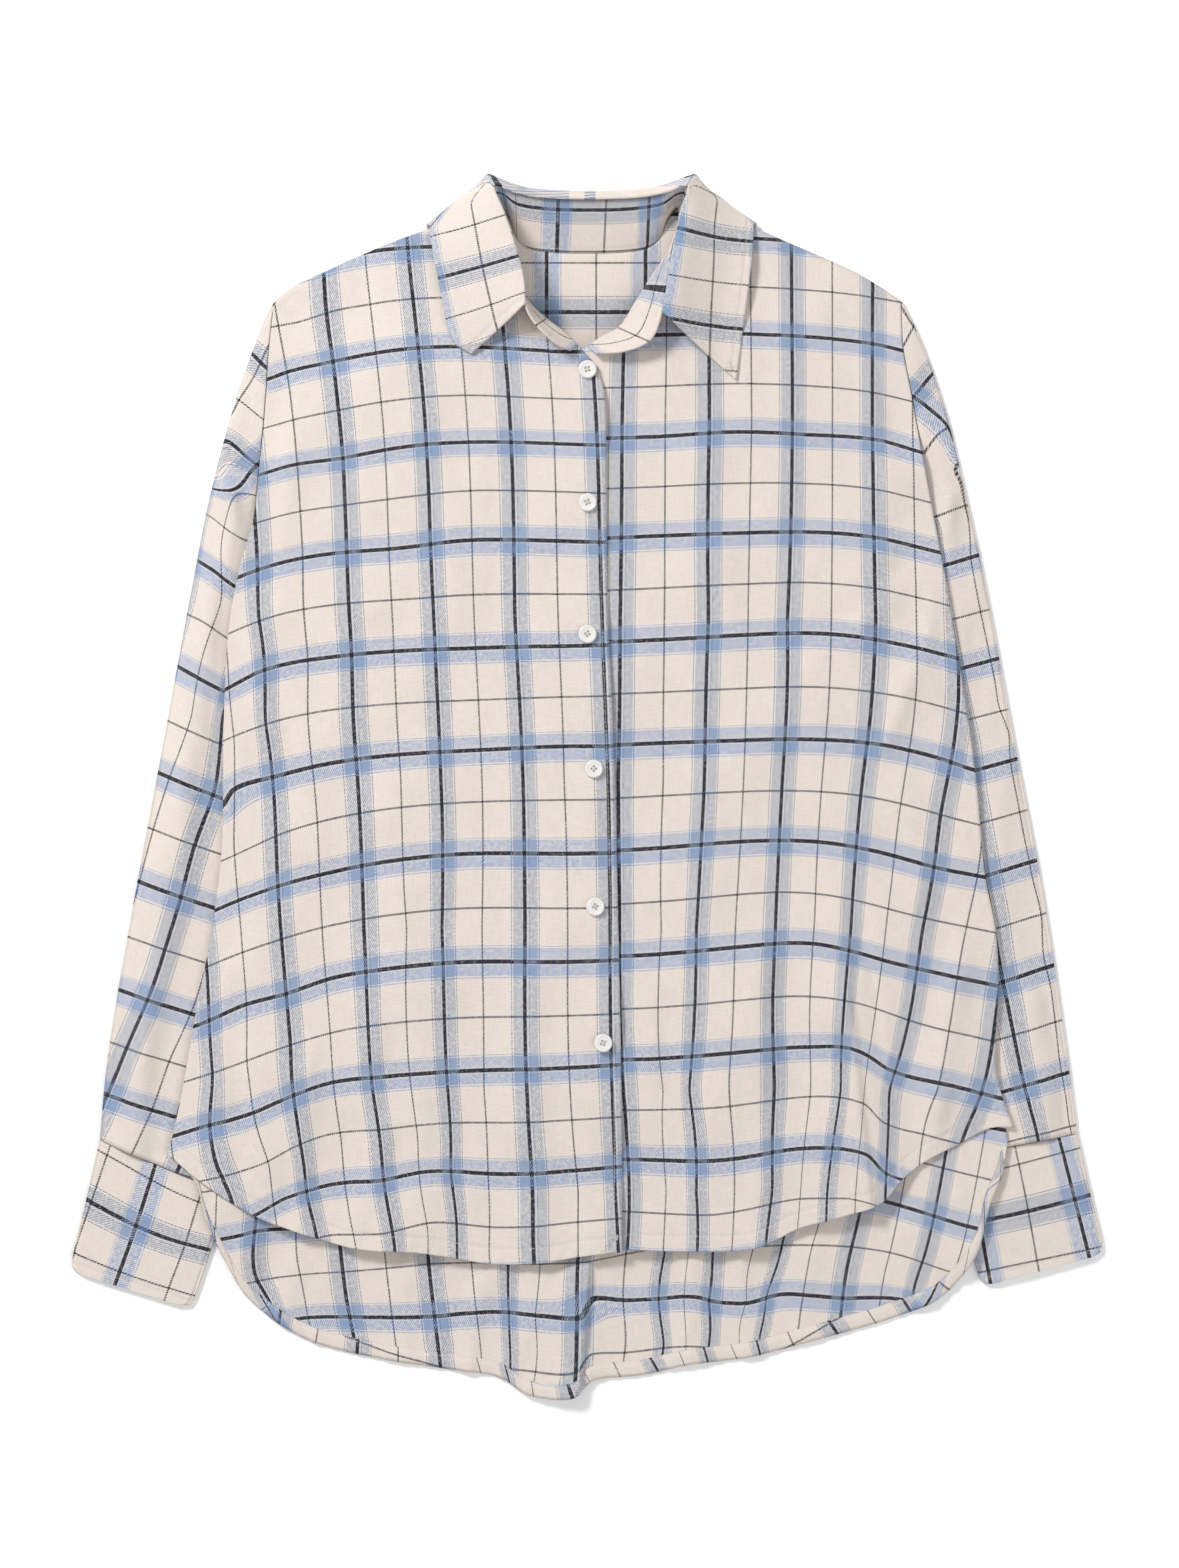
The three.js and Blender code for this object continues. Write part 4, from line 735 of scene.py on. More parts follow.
class ShirtSettings(bpy.types.PropertyGroup):
    """Sizes and colours that a user can change"""

    warp_repeat: length_setting("Warp repeat", "One repeat of the check across the cloth", 0.054, 0.01)
    weft_repeat: length_setting("Weft repeat", "One repeat of the check along the cloth", 0.068, 0.01)
    end_width: length_setting("End width", "From one warp thread to the next", 0.00036, 0.0001)
    pick_width: length_setting("Pick width", "From one weft thread to the next", 0.0006, 0.0001)
    hem_width: length_setting("Hem width", "From the hem's edge to its stitches", 0.010, 0.002)
    edge_stitch: length_setting("Edge stitch", "From an edge of the collar or cuff to its stitches", 0.005, 0.001)
    stitch_length: length_setting("Stitch length", "From one stitch to the next", 0.0026, 0.001)
    button_diameter: length_setting("Button diameter", "Across a front button", 0.0115, 0.008)
    creases: bpy.props.FloatProperty(
        name="Creases", description="Strength of the finer creases", default=1.0, min=0.0, max=2.0, subtype="FACTOR",
    )
    lens: bpy.props.FloatProperty(
        name="Lens", description="Focal length of the camera, in millimetres", default=100.0, min=35.0,
    )
    cream: colour_setting("Cream", "Ground yarn", (225, 215, 206))
    black: colour_setting("Black", "Yarn of the broad black lines", (12, 18, 40))
    thin: colour_setting("Thin black", "Yarn of the thin lines", (28, 28, 34))
    grey: colour_setting("Grey", "Yarn of the warp bands", (144, 157, 176))
    pale_grey: colour_setting("Pale grey", "Yarn beside the black lines", (172, 182, 196))
    edge_grey: colour_setting("Edge grey", "Yarn at the edges of the warp bands", (108, 126, 158))
    blue: colour_setting("Blue", "Yarn of the weft bands' lower half", (127, 155, 198))
    soft_blue: colour_setting("Soft blue", "Yarn of the weft bands' upper half", (143, 162, 196))
    pale_green: colour_setting("Pale green", "Yarn below the weft's black line", (180, 192, 206))
    nap: colour_setting("Nap", "Brushed fibres over the check", (232, 228, 226))
    sewn_row: colour_setting("Sewn rows", "Thread of the sewn rows", (224, 215, 206))
    button_shade: colour_setting("Button shade", "Darker clouds in a button", (240, 237, 234))
    button_light: colour_setting("Button light", "Lighter clouds in a button", (253, 251, 248))
    thread_shade: colour_setting("Thread shade", "Darker twist of the button thread", (196, 188, 180))
    thread_light: colour_setting("Thread light", "Lighter twist of the button thread", (240, 234, 226))
    floor: colour_setting("Floor", "The plain floor", (250, 250, 250))


def fill(node, inputs):
    """Gives a node's inputs as values, or as sockets to link."""
    for key, value in dict(inputs).items():
        if isinstance(value, bpy.types.NodeSocket):
            node.id_data.links.new(value, node.inputs[key])
        else:
            node.inputs[key].default_value = value


class Nodes:
    """Short hand for adding linked nodes to a tree."""

    def __init__(self, tree):
        self.tree = tree
        self.link = tree.links.new

    def add(self, kind, inputs=(), **settings):
        """A node with its settings and its inputs."""
        node = self.tree.nodes.new(kind)
        for key, value in settings.items():
            setattr(node, key, value)
        fill(node, inputs)
        return node

    def math(self, operation, *values):
        """The output of a math node."""
        return self.add("ShaderNodeMath", enumerate(values), operation=operation).outputs[0]

    def blend(self, share, a, b):
        """A colour mixed from a to b."""
        return self.add("ShaderNodeMix", {0: share, 6: a, 7: b}, data_type="RGBA").outputs[2]

    def noise(self, place, scale, detail, **settings):
        """The value of a noise texture."""
        inputs = {"Vector": place, "Scale": scale, "Detail": detail}
        return self.add("ShaderNodeTexNoise", inputs, **settings).outputs[0]

    def two_tone(self, share, dark, light):
        """A colour from one tone to the other."""
        ramp = self.add("ShaderNodeValToRGB", {0: share})
        ramp.color_ramp.elements[0].color, ramp.color_ramp.elements[1].color = dark, light
        return ramp.outputs[0]


def group(name, inputs, outputs):
    """An empty shader group with those sockets, and its helper, input and output nodes."""
    tree = bpy.data.node_groups.new(name, "ShaderNodeTree")
    for title, default in inputs:
        kind = "NodeSocketVector" if default is None else "NodeSocketFloat"
        socket = tree.interface.new_socket(title, in_out="INPUT", socket_type=kind)
        if default is not None:
            socket.default_value = default
    for title, kind in outputs:
        tree.interface.new_socket(title, in_out="OUTPUT", socket_type=kind)
    nodes = Nodes(tree)
    return tree, nodes, nodes.add("NodeGroupInput").outputs, nodes.add("NodeGroupOutput").inputs


def sett_ramp(nodes, sett, phase, shirt):
    """The colour of the yarn at a phase 0 to 1 of the repeat, and how well it covers as alpha: a
    stepped ramp over the sett's widths."""
    ramp = nodes.add("ShaderNodeValToRGB", {0: phase})
    ramp.color_ramp.interpolation = "CONSTANT"
    total = sum(width for width, _ in sett)
    start = 0.0
    for index, (width, yarn) in enumerate(sett):
        element = ramp.color_ramp.elements[index] if index < 2 else ramp.color_ramp.elements.new(start / total)
        element.position = start / total
        element.color = (*getattr(shirt, yarn)[:3], COVER.get(yarn, PLAIN_COVER))
        start += width
    return ramp.outputs


def check_group(shirt):
    """Check: the colour and thread height of the woven check at a cloth coordinate.
    Warp and weft colours come from their setts; a 2/2 twill picks which of them is on top, and the
    darker yarn covers more, by the cube of how much darker it is."""
    inputs = [("Cloth", None), ("Warp repeat", 0.054), ("Weft repeat", 0.068), ("End width", 0.00036),
              ("Pick width", 0.0006)]
    tree, n, got, out = group("Check", inputs, [("Color", "NodeSocketColor"), ("Height", "NodeSocketFloat")])
    place = n.add("ShaderNodeSeparateXYZ", {0: got["Cloth"]}).outputs
    warp, weft = (
        sett_ramp(n, sett, n.math("FRACT", n.math("ADD", n.math("DIVIDE", place[axis], got[repeat]), 100.5)), shirt)
        for axis, repeat, sett in ((0, "Warp repeat", WARP_SETT), (1, "Weft repeat", WEFT_SETT))
    )
    end = n.math("DIVIDE", place[0], got["End width"])
    pick = n.math("DIVIDE", place[1], got["Pick width"])
    end_number, pick_number = n.math("FLOOR", end), n.math("FLOOR", pick)
    step = n.math("DIVIDE", n.math("ADD", n.math("ADD", end_number, pick_number), PAST_ZERO), 4.0)
    warp_up = n.math("LESS_THAN", n.math("FRACT", step), 0.5)
    tinted = []
    for yarn, number, along in ((warp[0], end_number, pick), (weft[0], pick_number, end)):
        spot = n.add("ShaderNodeCombineXYZ", {0: number, 1: n.math("MULTIPLY", along, 0.045)}).outputs[0]
        value = n.math("MULTIPLY_ADD", n.noise(spot, 1.0, 1.0, noise_dimensions="2D"), 0.34, 0.83)
        tinted.append(n.add("ShaderNodeHueSaturation", {"Color": yarn, "Value": value}).outputs[0])
    warp_light, weft_light = (n.add("ShaderNodeRGBToBW", {0: yarn[0]}).outputs[0] for yarn in (warp, weft))
    difference = n.math("SUBTRACT", weft_light, warp_light)
    strength = n.math("MAXIMUM", warp[1], weft[1])
    darker = n.math("MULTIPLY", n.math("POWER", difference, 3.0), n.math("MULTIPLY", strength, 3.0))
    mottle = n.noise(got["Cloth"], 460.0, 2.0)
    uneven = n.math("MULTIPLY_ADD", n.math("SUBTRACT", mottle, 0.5), 1.5, darker)
    share = n.math("ADD", n.math("MULTIPLY_ADD", warp_up, 0.7, 0.15), uneven)
    share = n.math("MINIMUM", n.math("MAXIMUM", share, 0.0), 1.0)
    rounds = []
    for thread in (end, pick):
        off = n.math("ABSOLUTE", n.math("SUBTRACT", n.math("FRACT", n.math("ADD", thread, PAST_ZERO)), 0.5))
        rounds.append(n.math("SUBTRACT", 1.0, n.math("MULTIPLY", off, off)))
    height = n.add("ShaderNodeMix", {"Factor": warp_up, "A": rounds[1], "B": rounds[0]}, data_type="FLOAT")
    n.link(n.blend(share, tinted[1], tinted[0]), out["Color"])
    n.link(height.outputs[0], out["Height"])
    return tree


def nap_group():
    """Nap: a fine fuzz of two noises over the cloth, as a lightening mask and a height."""
    outputs = [("Mask", "NodeSocketFloat"), ("Height", "NodeSocketFloat")]
    tree, n, got, out = group("Nap", [("Cloth", None), ("Size", 0.0011)], outputs)
    scale = n.math("DIVIDE", 1.0, got["Size"])
    fine = n.noise(got["Cloth"], scale, 3.0)
    coarse = n.noise(got["Cloth"], n.math("MULTIPLY", scale, 0.06), 2.0)
    n.link(n.math("MULTIPLY", fine, coarse), out["Mask"])
    n.link(fine, out["Height"])
    return tree


def stitches_group():
    """Stitches: dashes along a sewn row. (along, off) is the length along the row and off it;
    the mask is the thread, the height a groove along the row with a dip at each needle hole."""
    outputs = [("Mask", "NodeSocketFloat"), ("Height", "NodeSocketFloat")]
    tree, n, got, out = group("Stitches", [("Sewing", None), ("Length", 0.0026), ("Width", 0.0005)], outputs)
    place = n.add("ShaderNodeSeparateXYZ", {0: got["Sewing"]}).outputs
    off = n.math("ABSOLUTE", place[1])
    phase = n.math("FRACT", n.math("ADD", n.math("DIVIDE", place[0], got["Length"]), 100.0))
    from_middle = n.math("ABSOLUTE", n.math("SUBTRACT", phase, 0.5))
    on_row = n.math("LESS_THAN", off, n.math("MULTIPLY", got["Width"], 0.5))
    n.link(n.math("MULTIPLY", on_row, n.math("LESS_THAN", from_middle, 0.36)), out["Mask"])
    groove = n.math("MAXIMUM", n.math("SUBTRACT", 1.0, n.math("DIVIDE", off, 0.0022)), 0.0)
    dip = n.math("MULTIPLY_ADD", from_middle, 1.1, 0.45)
    n.link(n.math("MULTIPLY", n.math("MULTIPLY", groove, dip), -1.0), out["Height"])
    return tree


def new_material(name):
    """An empty material's node helper and its Principled node."""
    material = bpy.data.materials.new(name)
    material.use_nodes = True
    return Nodes(material.node_tree), material.node_tree.nodes["Principled BSDF"]


def flannel_material(shirt):
    """Brushed cotton twill: the check, its nap and its sewn rows on a matt surface with a little sheen."""
    n, shader = new_material("flannel_twill")
    cloth, sewing = (n.add("ShaderNodeUVMap", uv_map=title).outputs[0] for title in ("cloth", "sewing"))
    sizes = {"Warp repeat": shirt.warp_repeat, "Weft repeat": shirt.weft_repeat, "End width": shirt.end_width,
             "Pick width": shirt.pick_width}
    check = n.add("ShaderNodeGroup", {"Cloth": cloth, **sizes}, node_tree=check_group(shirt))
    nap = n.add("ShaderNodeGroup", {"Cloth": cloth}, node_tree=nap_group())
    rows = n.add("ShaderNodeGroup", {"Sewing": sewing, "Length": shirt.stitch_length}, node_tree=stitches_group())
    fuzz = n.blend(n.math("MULTIPLY", nap.outputs["Mask"], 0.10), check.outputs["Color"], shirt.nap)
    sewn = n.blend(n.math("MULTIPLY", rows.outputs["Mask"], 0.5), fuzz, shirt.sewn_row)
    threads = n.math("MULTIPLY", check.outputs["Height"], 0.10)
    fibres = n.math("MULTIPLY_ADD", nap.outputs["Height"], 0.16, threads)
    height = n.math("MULTIPLY_ADD", rows.outputs["Height"], 0.55, fibres)
    bump = n.add("ShaderNodeBump", {"Strength": 0.7, "Distance": 0.001, "Height": height})
    fill(shader, {
        "Base Color": sewn, "Normal": bump.outputs[0], "Roughness": 0.95, "Specular IOR Level": 0.15,
        "Sheen Weight": 0.12, "Sheen Roughness": 0.6,
    })


def button_material(shirt):
    """Pearly white resin: pale, glossy, a little light through it, with a soft cloudiness."""
    n, shader = new_material("pearly_button")
    cloud = n.noise(n.add("ShaderNodeTexCoord").outputs["Object"], 240.0, 2.0)
    fill(shader, {
        "Base Color": n.two_tone(cloud, shirt.button_shade, shirt.button_light), "Roughness": 0.18,
        "Coat Weight": 0.5, "Transmission Weight": 0.12, "Subsurface Weight": 0.15,
        "Subsurface Radius": (0.002, 0.002, 0.002),
    })


def thread_material(shirt):
    """Pale sewing thread, twisted: fine bands round it."""
    n, shader = new_material("sewing_thread")
    cloth = n.add("ShaderNodeUVMap", uv_map="cloth").outputs[0]
    bands = n.add("ShaderNodeTexWave", {"Vector": cloth, "Scale": 900.0, "Distortion": 1.0}).outputs[1]
    fill(shader, {"Base Color": n.two_tone(bands, shirt.thread_shade, shirt.thread_light), "Roughness": 0.7})


def ready(context):
    """The settings, once the materials that the builders share are made."""
    shirt = context.scene.shirt
    for name, make in (
        ("flannel_twill", flannel_material), ("pearly_button", button_material), ("sewing_thread", thread_material),
    ):
        if name not in bpy.data.materials:
            make(shirt)
    return shirt


class SHIRT_OT_fronts(bpy.types.Operator):
    """Build the two fronts"""

    bl_idname = "shirt.fronts"
    bl_label = "Fronts"
    bl_options = {"REGISTER", "UNDO"}

    def execute(self, context):
        """Both fronts: outline patches at the fronts' heights, shoulder and neck along the top, side and
        closing at the sides, and the hem puckered along its stitches."""
        shirt = ready(context)
        for name, side, shoulder, neck, closing, bottom, height, closing_stitch, turn in (
            ("front_right", RIGHT_SIDE, RIGHT_SHOULDER, RIGHT_NECK, LAP_EDGE, RIGHT_HEM, right_front_height,
             CLOSING_STITCH, 1),
            ("front_left", LEFT_SIDE, LEFT_SHOULDER, LEFT_NECK, UNDER_LAP, LEFT_HEM, left_front_height, None, -1),
        ):
            top = chain([walk(shoulder), walk(neck)], [11, 7])
            s, t = np.linspace(0, 1, 132), crowded(190, 1.25)
            grid = panel_grid(top, walk(bottom), walk(side), walk(closing), s, t, height)
            grid = hem_pucker(grid, 9, 0.35)
            sewing = edge_distances(grid, shirt.hem_width / MM, closing_stitch)
            piece = surface("cloth_" + name, grid, cloth_coordinates(name, grid), sewing, thickness=SHELL, turn=turn)
            declare(piece, name)
        return {"FINISHED"}


class SHIRT_OT_back(bpy.types.Operator):
    """Build the back, its turned-up hem and the yoke"""

    bl_idname = "shirt.back"
    bl_label = "Back and yoke"
    bl_options = {"REGISTER", "UNDO"}

    def execute(self, context):
        """Back and yoke patches a seam's gap apart, and the hem turned up inside the tail."""
        shirt = ready(context)
        seam = [(x, YOKE_SEAM_Y) for x in (-205.3, -100, 0, 100, 209.3)]
        right, left = (
            [end] + [p for p in side[:-1] if p[1] < YOKE_SEAM_Y - 8] + [foot]
            for end, side, foot in ((seam[0], RIGHT_SIDE, BACK_HEM[0]), (seam[-1], LEFT_SIDE, BACK_HEM[-1]))
        )
        middle = np.linspace(-1, 1, 210)
        s, t = 0.5 + 0.5 * middle * (0.62 + 0.38 * middle**2), crowded(130, 1.6)
        grid = panel_grid(walk(seam), walk(BACK_HEM), walk(right), walk(left), s, t, back_height)
        grid = hem_pucker(grid, 10, 0.4)
        grid[..., 2] = np.maximum(grid[..., 2], LEAST_TOP)
        piece = declare(surface("cloth_back", grid, cloth_coordinates("back", grid), thickness=SHELL), "back")
        self.turned_hem(shirt, grid)
        top = chain([walk(RIGHT_SHOULDER), walk(BACK_NECK), walk(LEFT_SHOULDER[::-1])], [7, 8, 7])
        foot = [(x, YOKE_SEAM_Y + SEAM_GAP) for x, _ in seam]
        right, left = [RIGHT_SHOULDER[0], RIGHT_SIDE[1], foot[0]], [LEFT_SHOULDER[0], LEFT_SIDE[1], foot[-1]]
        s, t = np.linspace(0, 1, 132), np.linspace(0, 1, 40)
        grid = panel_grid(top, walk(foot), walk(right), walk(left), s, t, yoke_height)
        piece = declare(surface("cloth_yoke", grid, cloth_coordinates("yoke", grid), thickness=SHELL), "yoke")
        return {"FINISHED"}

    def turned_hem(self, shirt, back):
        """The hem's turned-up strip: the back's last rows, raised by its doubling; its cloth goes on
        past the fold, so its coordinates are the fold's plus what lies between, mirrored."""
        width = shirt.hem_width / MM
        steps = np.array([width, width * 0.97, width * 0.6, width * 0.25, 0.3])
        strip = columns_at(run(back[::-1]), back[::-1], steps[:, None])
        mirrored = 2 * back[-1:] - strip
        strip[..., 2] += np.array([0.15, 0.75, 0.8, 0.8, 0.45])[:, None]
        strip, mirrored = strip[:, 3:-3], mirrored[:, 3:-3]
        along = run(strip[0])
        sewing = np.dstack([np.broadcast_to(along, strip.shape[:2]), (width - 1.6 - steps)[:, None] + 0 * along])
        piece = surface("cloth_back_hem", strip, cloth_coordinates("back", mirrored), sewing, thickness=HEM_SHELL)
        declare(piece, None)


def flat_tube(outline, rows, top, columns, turn_height):
    """A flattened tube: rings that go over the top at its height and back along the surface. The share
    across is (1 - cos) / 2 of the angle; the height eases to the turn's at both edges."""
    angle = np.linspace(0, 2 * np.pi, columns, endpoint=False)
    across = 0.5 - 0.5 * np.cos(angle) * (1 - 0.06 * np.sin(angle) ** 2)
    flat = outline(across, rows)
    high = np.where(np.sin(angle) >= 0, top(across, flat[..., 0], flat[..., 1]), 0.0)
    return np.dstack([flat, mix(turn_height, high, ease(np.minimum(across, 1 - across) / 0.035))])


def lifted_where_turned(grid, least):
    """A tube whose underside is lifted to a least height where its outline turns over itself."""
    down, across = np.gradient(grid[..., 0]), np.gradient(grid[..., 1])
    turn = down[0] * across[1] - down[1] * across[0]
    low = grid[..., 2] < 1.0
    turned = low & (np.sign(turn) != np.sign(np.median(turn[low])))
    reach = sum(np.roll(turned, (i, j), (0, 1)) for i in (-2, -1, 0, 1, 2) for j in (-2, -1, 0, 1, 2))
    grid[..., 2] = np.where(reach > 0, np.maximum(grid[..., 2], least), grid[..., 2])
    return grid


def sleeve_outline(side, away, outer, inner, corners):
    """Outline of a sleeve: rows ruled from the armhole to the cuff seam, bowed by its two edges;
    near the body the bow of the inner edge crowds towards the underarm."""
    armhole = walk([(x + away * SLEEVE_OFF_BODY, y) for x, y in side if y > 160])
    seam, outer, inner = walk(corners[:2]), walk(outer), walk(inner)

    def outline(s, t):
        bow_out, bow_in = (edge(t) - mix(edge(0), edge(1), t[:, None]) for edge in (outer, inner))
        t = t[:, None]
        dive = (s ** (1 + 7 * (1 - t) ** 4))[..., None]
        return mix(armhole(s), seam(s), t[..., None]) + bow_out[:, None] * (1 - dive) + bow_in[:, None] * dive

    return outline


class SHIRT_OT_sleeves(bpy.types.Operator):
    """Build the two sleeves"""

    bl_idname = "shirt.sleeves"
    bl_label = "Sleeves"
    bl_options = {"REGISTER", "UNDO"}

    def execute(self, context):
        """Each sleeve is a flattened tube from the armhole to the cuff, creased where it shows."""
        shirt = ready(context)
        for name, side, away, outer, inner, corners in (
            ("sleeve_right", RIGHT_SIDE, -1, RIGHT_SLEEVE_OUTER, RIGHT_SLEEVE_INNER, RIGHT_CUFF),
            ("sleeve_left", LEFT_SIDE, 1, LEFT_SLEEVE_OUTER, LEFT_SLEEVE_INNER, LEFT_CUFF),
        ):

            def top(s, x, y):
                shown = ease((np.abs(x) - np.abs(side_x(side, y)) + 2) / 16) * ease((y + 268) / 26)
                fine = 1.9 * folds(SLEEVE_CREASES, x, y) + 0.6 * rumple(x * 1.5, y * 0.7, 40, 21)
                full = SLEEVE_EDGE + SLEEVE_BULGE * np.sin(np.pi * s) ** 0.8
                return full + shirt.creases * shown * np.maximum(-1.2, fine) * ease(np.minimum(s, 1 - s) / 0.08)

            outline = sleeve_outline(side, away, outer, inner, corners)
            grid = flat_tube(outline, np.linspace(0, 1, 170), top, 120, 1.35)[:, ::-away]
            grid = lifted_where_turned(grid, LEAST_TOP)
            piece = surface("cloth_" + name, grid, cloth_coordinates(name, grid), around=True, thickness=SHELL)
            declare(piece, name)
        return {"FINISHED"}


class SHIRT_OT_cuffs(bpy.types.Operator):
    """Build the two cuffs"""

    bl_idname = "shirt.cuffs"
    bl_label = "Cuffs"
    bl_options = {"REGISTER", "UNDO"}

    def execute(self, context):
        """Each cuff is a flat band with rounded lower corners, stitched round its edge."""
        shirt = ready(context)

        def toward(a, b, distance):
            return a + (b - a) / np.linalg.norm(b - a) * distance

        def edge(start, end, other):
            on, beyond = toward(end, start, CUFF_ROUNDING), toward(end, other, CUFF_ROUNDING)
            bend = mix(mix(on, beyond, 0.5), end, 0.45)
            return [start, mix(start, on, 0.5), on, bend, beyond]

        def top(s, x, y):
            return 2 * DOUBLED + 0.45 + 0.5 * np.sin(np.pi * s) + 0.12 * rumple(x, y, 30, 31)

        ends = np.concatenate([np.linspace(0, 0.8, 34), np.linspace(0.82, 1, 22)])
        for name, corners, turn in (("cuff_right", RIGHT_CUFF, 1), ("cuff_left", LEFT_CUFF, -1)):
            outer_top, inner_top, inner_end, outer_end = (np.array(p, float) for p in corners)
            a = edge(toward(outer_top, outer_end, 0.4), outer_end, inner_end)
            b = edge(toward(inner_top, inner_end, 0.4), inner_end, outer_end)
            lines = walk([a[0], b[0]]), walk([a[-1], b[-1]]), walk(a), walk(b)
            grid = flat_tube(lambda s, t: patch(*lines, s, t), ends, top, 120, 1.7)
            down = run(grid[:, 30])[:, None]
            off = down[-1] - down - shirt.edge_stitch / MM + 0 * grid[..., 0]
            near_top = down - CUFF_TOP_STITCH + 0 * grid[..., 0]
            off = np.where(np.abs(near_top) < np.abs(off), near_top, off)
            sewing = np.dstack([np.linalg.norm(grid[..., :2] - grid[:, :1, :2], axis=-1), off])
            cloth = cloth_coordinates(name, grid)
            piece = surface("cloth_" + name, grid, cloth, sewing, around=True, thickness=CUFF_SHELL, turn=turn)
            declare(piece, name)
        return {"FINISHED"}


def stand_lines():
    """The stand's foot and head lines by station, the foot on what it is sewn to."""
    rows = np.array(STAND, float)
    x, y = rows[:, 0], rows[:, 1]
    index = np.arange(len(rows))
    on_right = front_under(x, y) + front_lap(x) + CLOTH
    on_left = front_under(x, y) + CLOTH
    behind = back_under(x, y) + CLOTH
    z = np.where(index <= NECK_POINTS[0], on_right, np.where(index >= NECK_POINTS[1], on_left, behind)) + 0.5

    def at(dense):
        place = np.linspace(0, len(rows) - 1, len(dense))
        return lambda station: np.stack([np.interp(station, place, k) for k in dense.T], -1)

    return at(spline(np.column_stack([x, y, z]), 0.0, 40)), at(spline(rows[:, 2:], 0.0, 40))


def collar_rows():
    """The collar's section through each listed station: up from the stand, over and down to its edge."""
    foot, head = stand_lines()
    rows = []
    for station, edge, rounding in COLLAR:
        ahead = head(min(station + 0.2, 26.0)) - head(max(station - 0.2, 0.0))
        out = np.array([-ahead[1], ahead[0], 0.0])
        out /= np.linalg.norm(out)
        upright = (head(station) - foot(station)) / np.linalg.norm(head(station) - foot(station))
        start, end = head(station) + 0.6 * out, np.array(edge, float)
        start[2] += mix(4.3, 2.0, upright[2])
        if rounding:
            inside = [np.array(p, float) for p in rounding]
        elif end[2] > 0:
            inside = [
                np.array([*mix(start, end, share)[:2], mix(start[2], end[2], height)])
                for share, height in ((0.14, 0.06), (0.42, 0.5), (0.72, 0.88))
            ]
        else:
            roll, low, floor = start + 5 * out, start + 5 * out, start - 3 * out
            roll[2], low[2], floor[2] = start[2] - 3.5, 5.0, 0.1
            inside = [roll, low, floor]
        rows.append([start, *inside, end])
    return np.array(rows)


def by_station(table, station):
    """A table's values at the stations, straight from row to row, as a column."""
    rows = np.array(table, float)
    return np.interp(station, rows[:, 0], rows[:, 1])[:, None]


class SHIRT_OT_collar(bpy.types.Operator):
    """Build the collar and its stand"""

    bl_idname = "shirt.collar"
    bl_label = "Collar and stand"
    bl_options = {"REGISTER", "UNDO"}

    def execute(self, context):
        """The stand and the collar on its head."""
        shirt = ready(context)
        self.stand(shirt)
        self.leaf(shirt)
        return {"FINISHED"}

    def stand(self, shirt):
        """The stand is ruled from its foot line to its head line."""
        foot, head = stand_lines()
        stations = np.linspace(0, 26, 330)
        rise = np.linspace(0, 1, 16)[None, :]
        grid = mix(foot(stations)[:, None], head(stations)[:, None], rise[..., None])
        length = np.linalg.norm(head(stations) - foot(stations), axis=1)[:, None]
        warp = (length * (1 - rise) - by_station(STAND_WARP_BELOW_HEAD, stations)) * MM
        weft = by_station(STAND_WEFT_STATIONS, stations) * shirt.weft_repeat / 2 + 0 * warp
        sewing = np.dstack([run(head(stations))[:, None] + 0 * warp, length * rise - STAND_STITCH])
        piece = surface(
            "cloth_collar_stand", grid, np.dstack([warp, weft]), sewing, thickness=-STAND_SHELL, turn=-1
        )
        declare(piece, "collar_stand")

    def leaf(self, shirt):
        """The collar is a skin over its sections, each walked by length, and lifted off them outward."""
        across = spline(collar_rows(), 0.0, 16)
        count = len(across)
        listed = [station for station, _, _ in COLLAR]
        place = np.interp(np.linspace(0, 1, count), np.linspace(0, 1, len(COLLAR)), listed)
        pick = np.linspace(0, count - 1, 260)
        before = np.minimum(pick.astype(int), count - 2)
        sections = mix(across[before], across[before + 1], (pick - before)[:, None, None])
        stations = np.interp(pick, np.arange(count), place)
        shares = np.linspace(0, 1, 44)
        dense = spline(sections.swapaxes(0, 1))
        length = run(dense)
        grid = columns_at(length, dense, shares[:, None] * length[-1]).swapaxes(0, 1)
        grid[..., 2] = np.maximum(grid[..., 2], 0)
        off_fold = run(grid, 1)
        warp = by_station(COLLAR_WARP_STATIONS, stations) * shirt.warp_repeat / 2 + 0 * off_fold
        weft = by_station(COLLAR_WEFT_START, stations) * shirt.weft_repeat / 2 + off_fold * MM
        cloth = np.dstack([warp, weft])
        for name, weight in (
            ("collar_right", ease((8.3 - stations) / 1.2)), ("collar_left", ease((stations - 17.3) / 1.2)),
        ):
            cloth = mix(cloth, cloth_coordinates(name, grid), weight[:, None, None])
        stitch = shirt.edge_stitch / MM
        sewing = edge_distances(grid, column_at=stitch)
        ends = np.minimum(run(grid), run(grid[::-1])[::-1]) - stitch
        nearer = np.abs(ends) < np.abs(sewing[..., 1])
        sewing = np.where(nearer[..., None], np.dstack([off_fold, ends]), sewing)
        normal = np.cross(np.gradient(grid, axis=0), np.gradient(grid, axis=1))
        normal /= np.linalg.norm(normal, axis=-1, keepdims=True) + 1e-9
        outer = grid - normal * (1.6 + 0.25 * np.sin(np.pi * shares))[None, :, None]
        piece = declare(surface("cloth_collar", outer, cloth, sewing, thickness=COLLAR_SHELL, turn=-1), "collar")


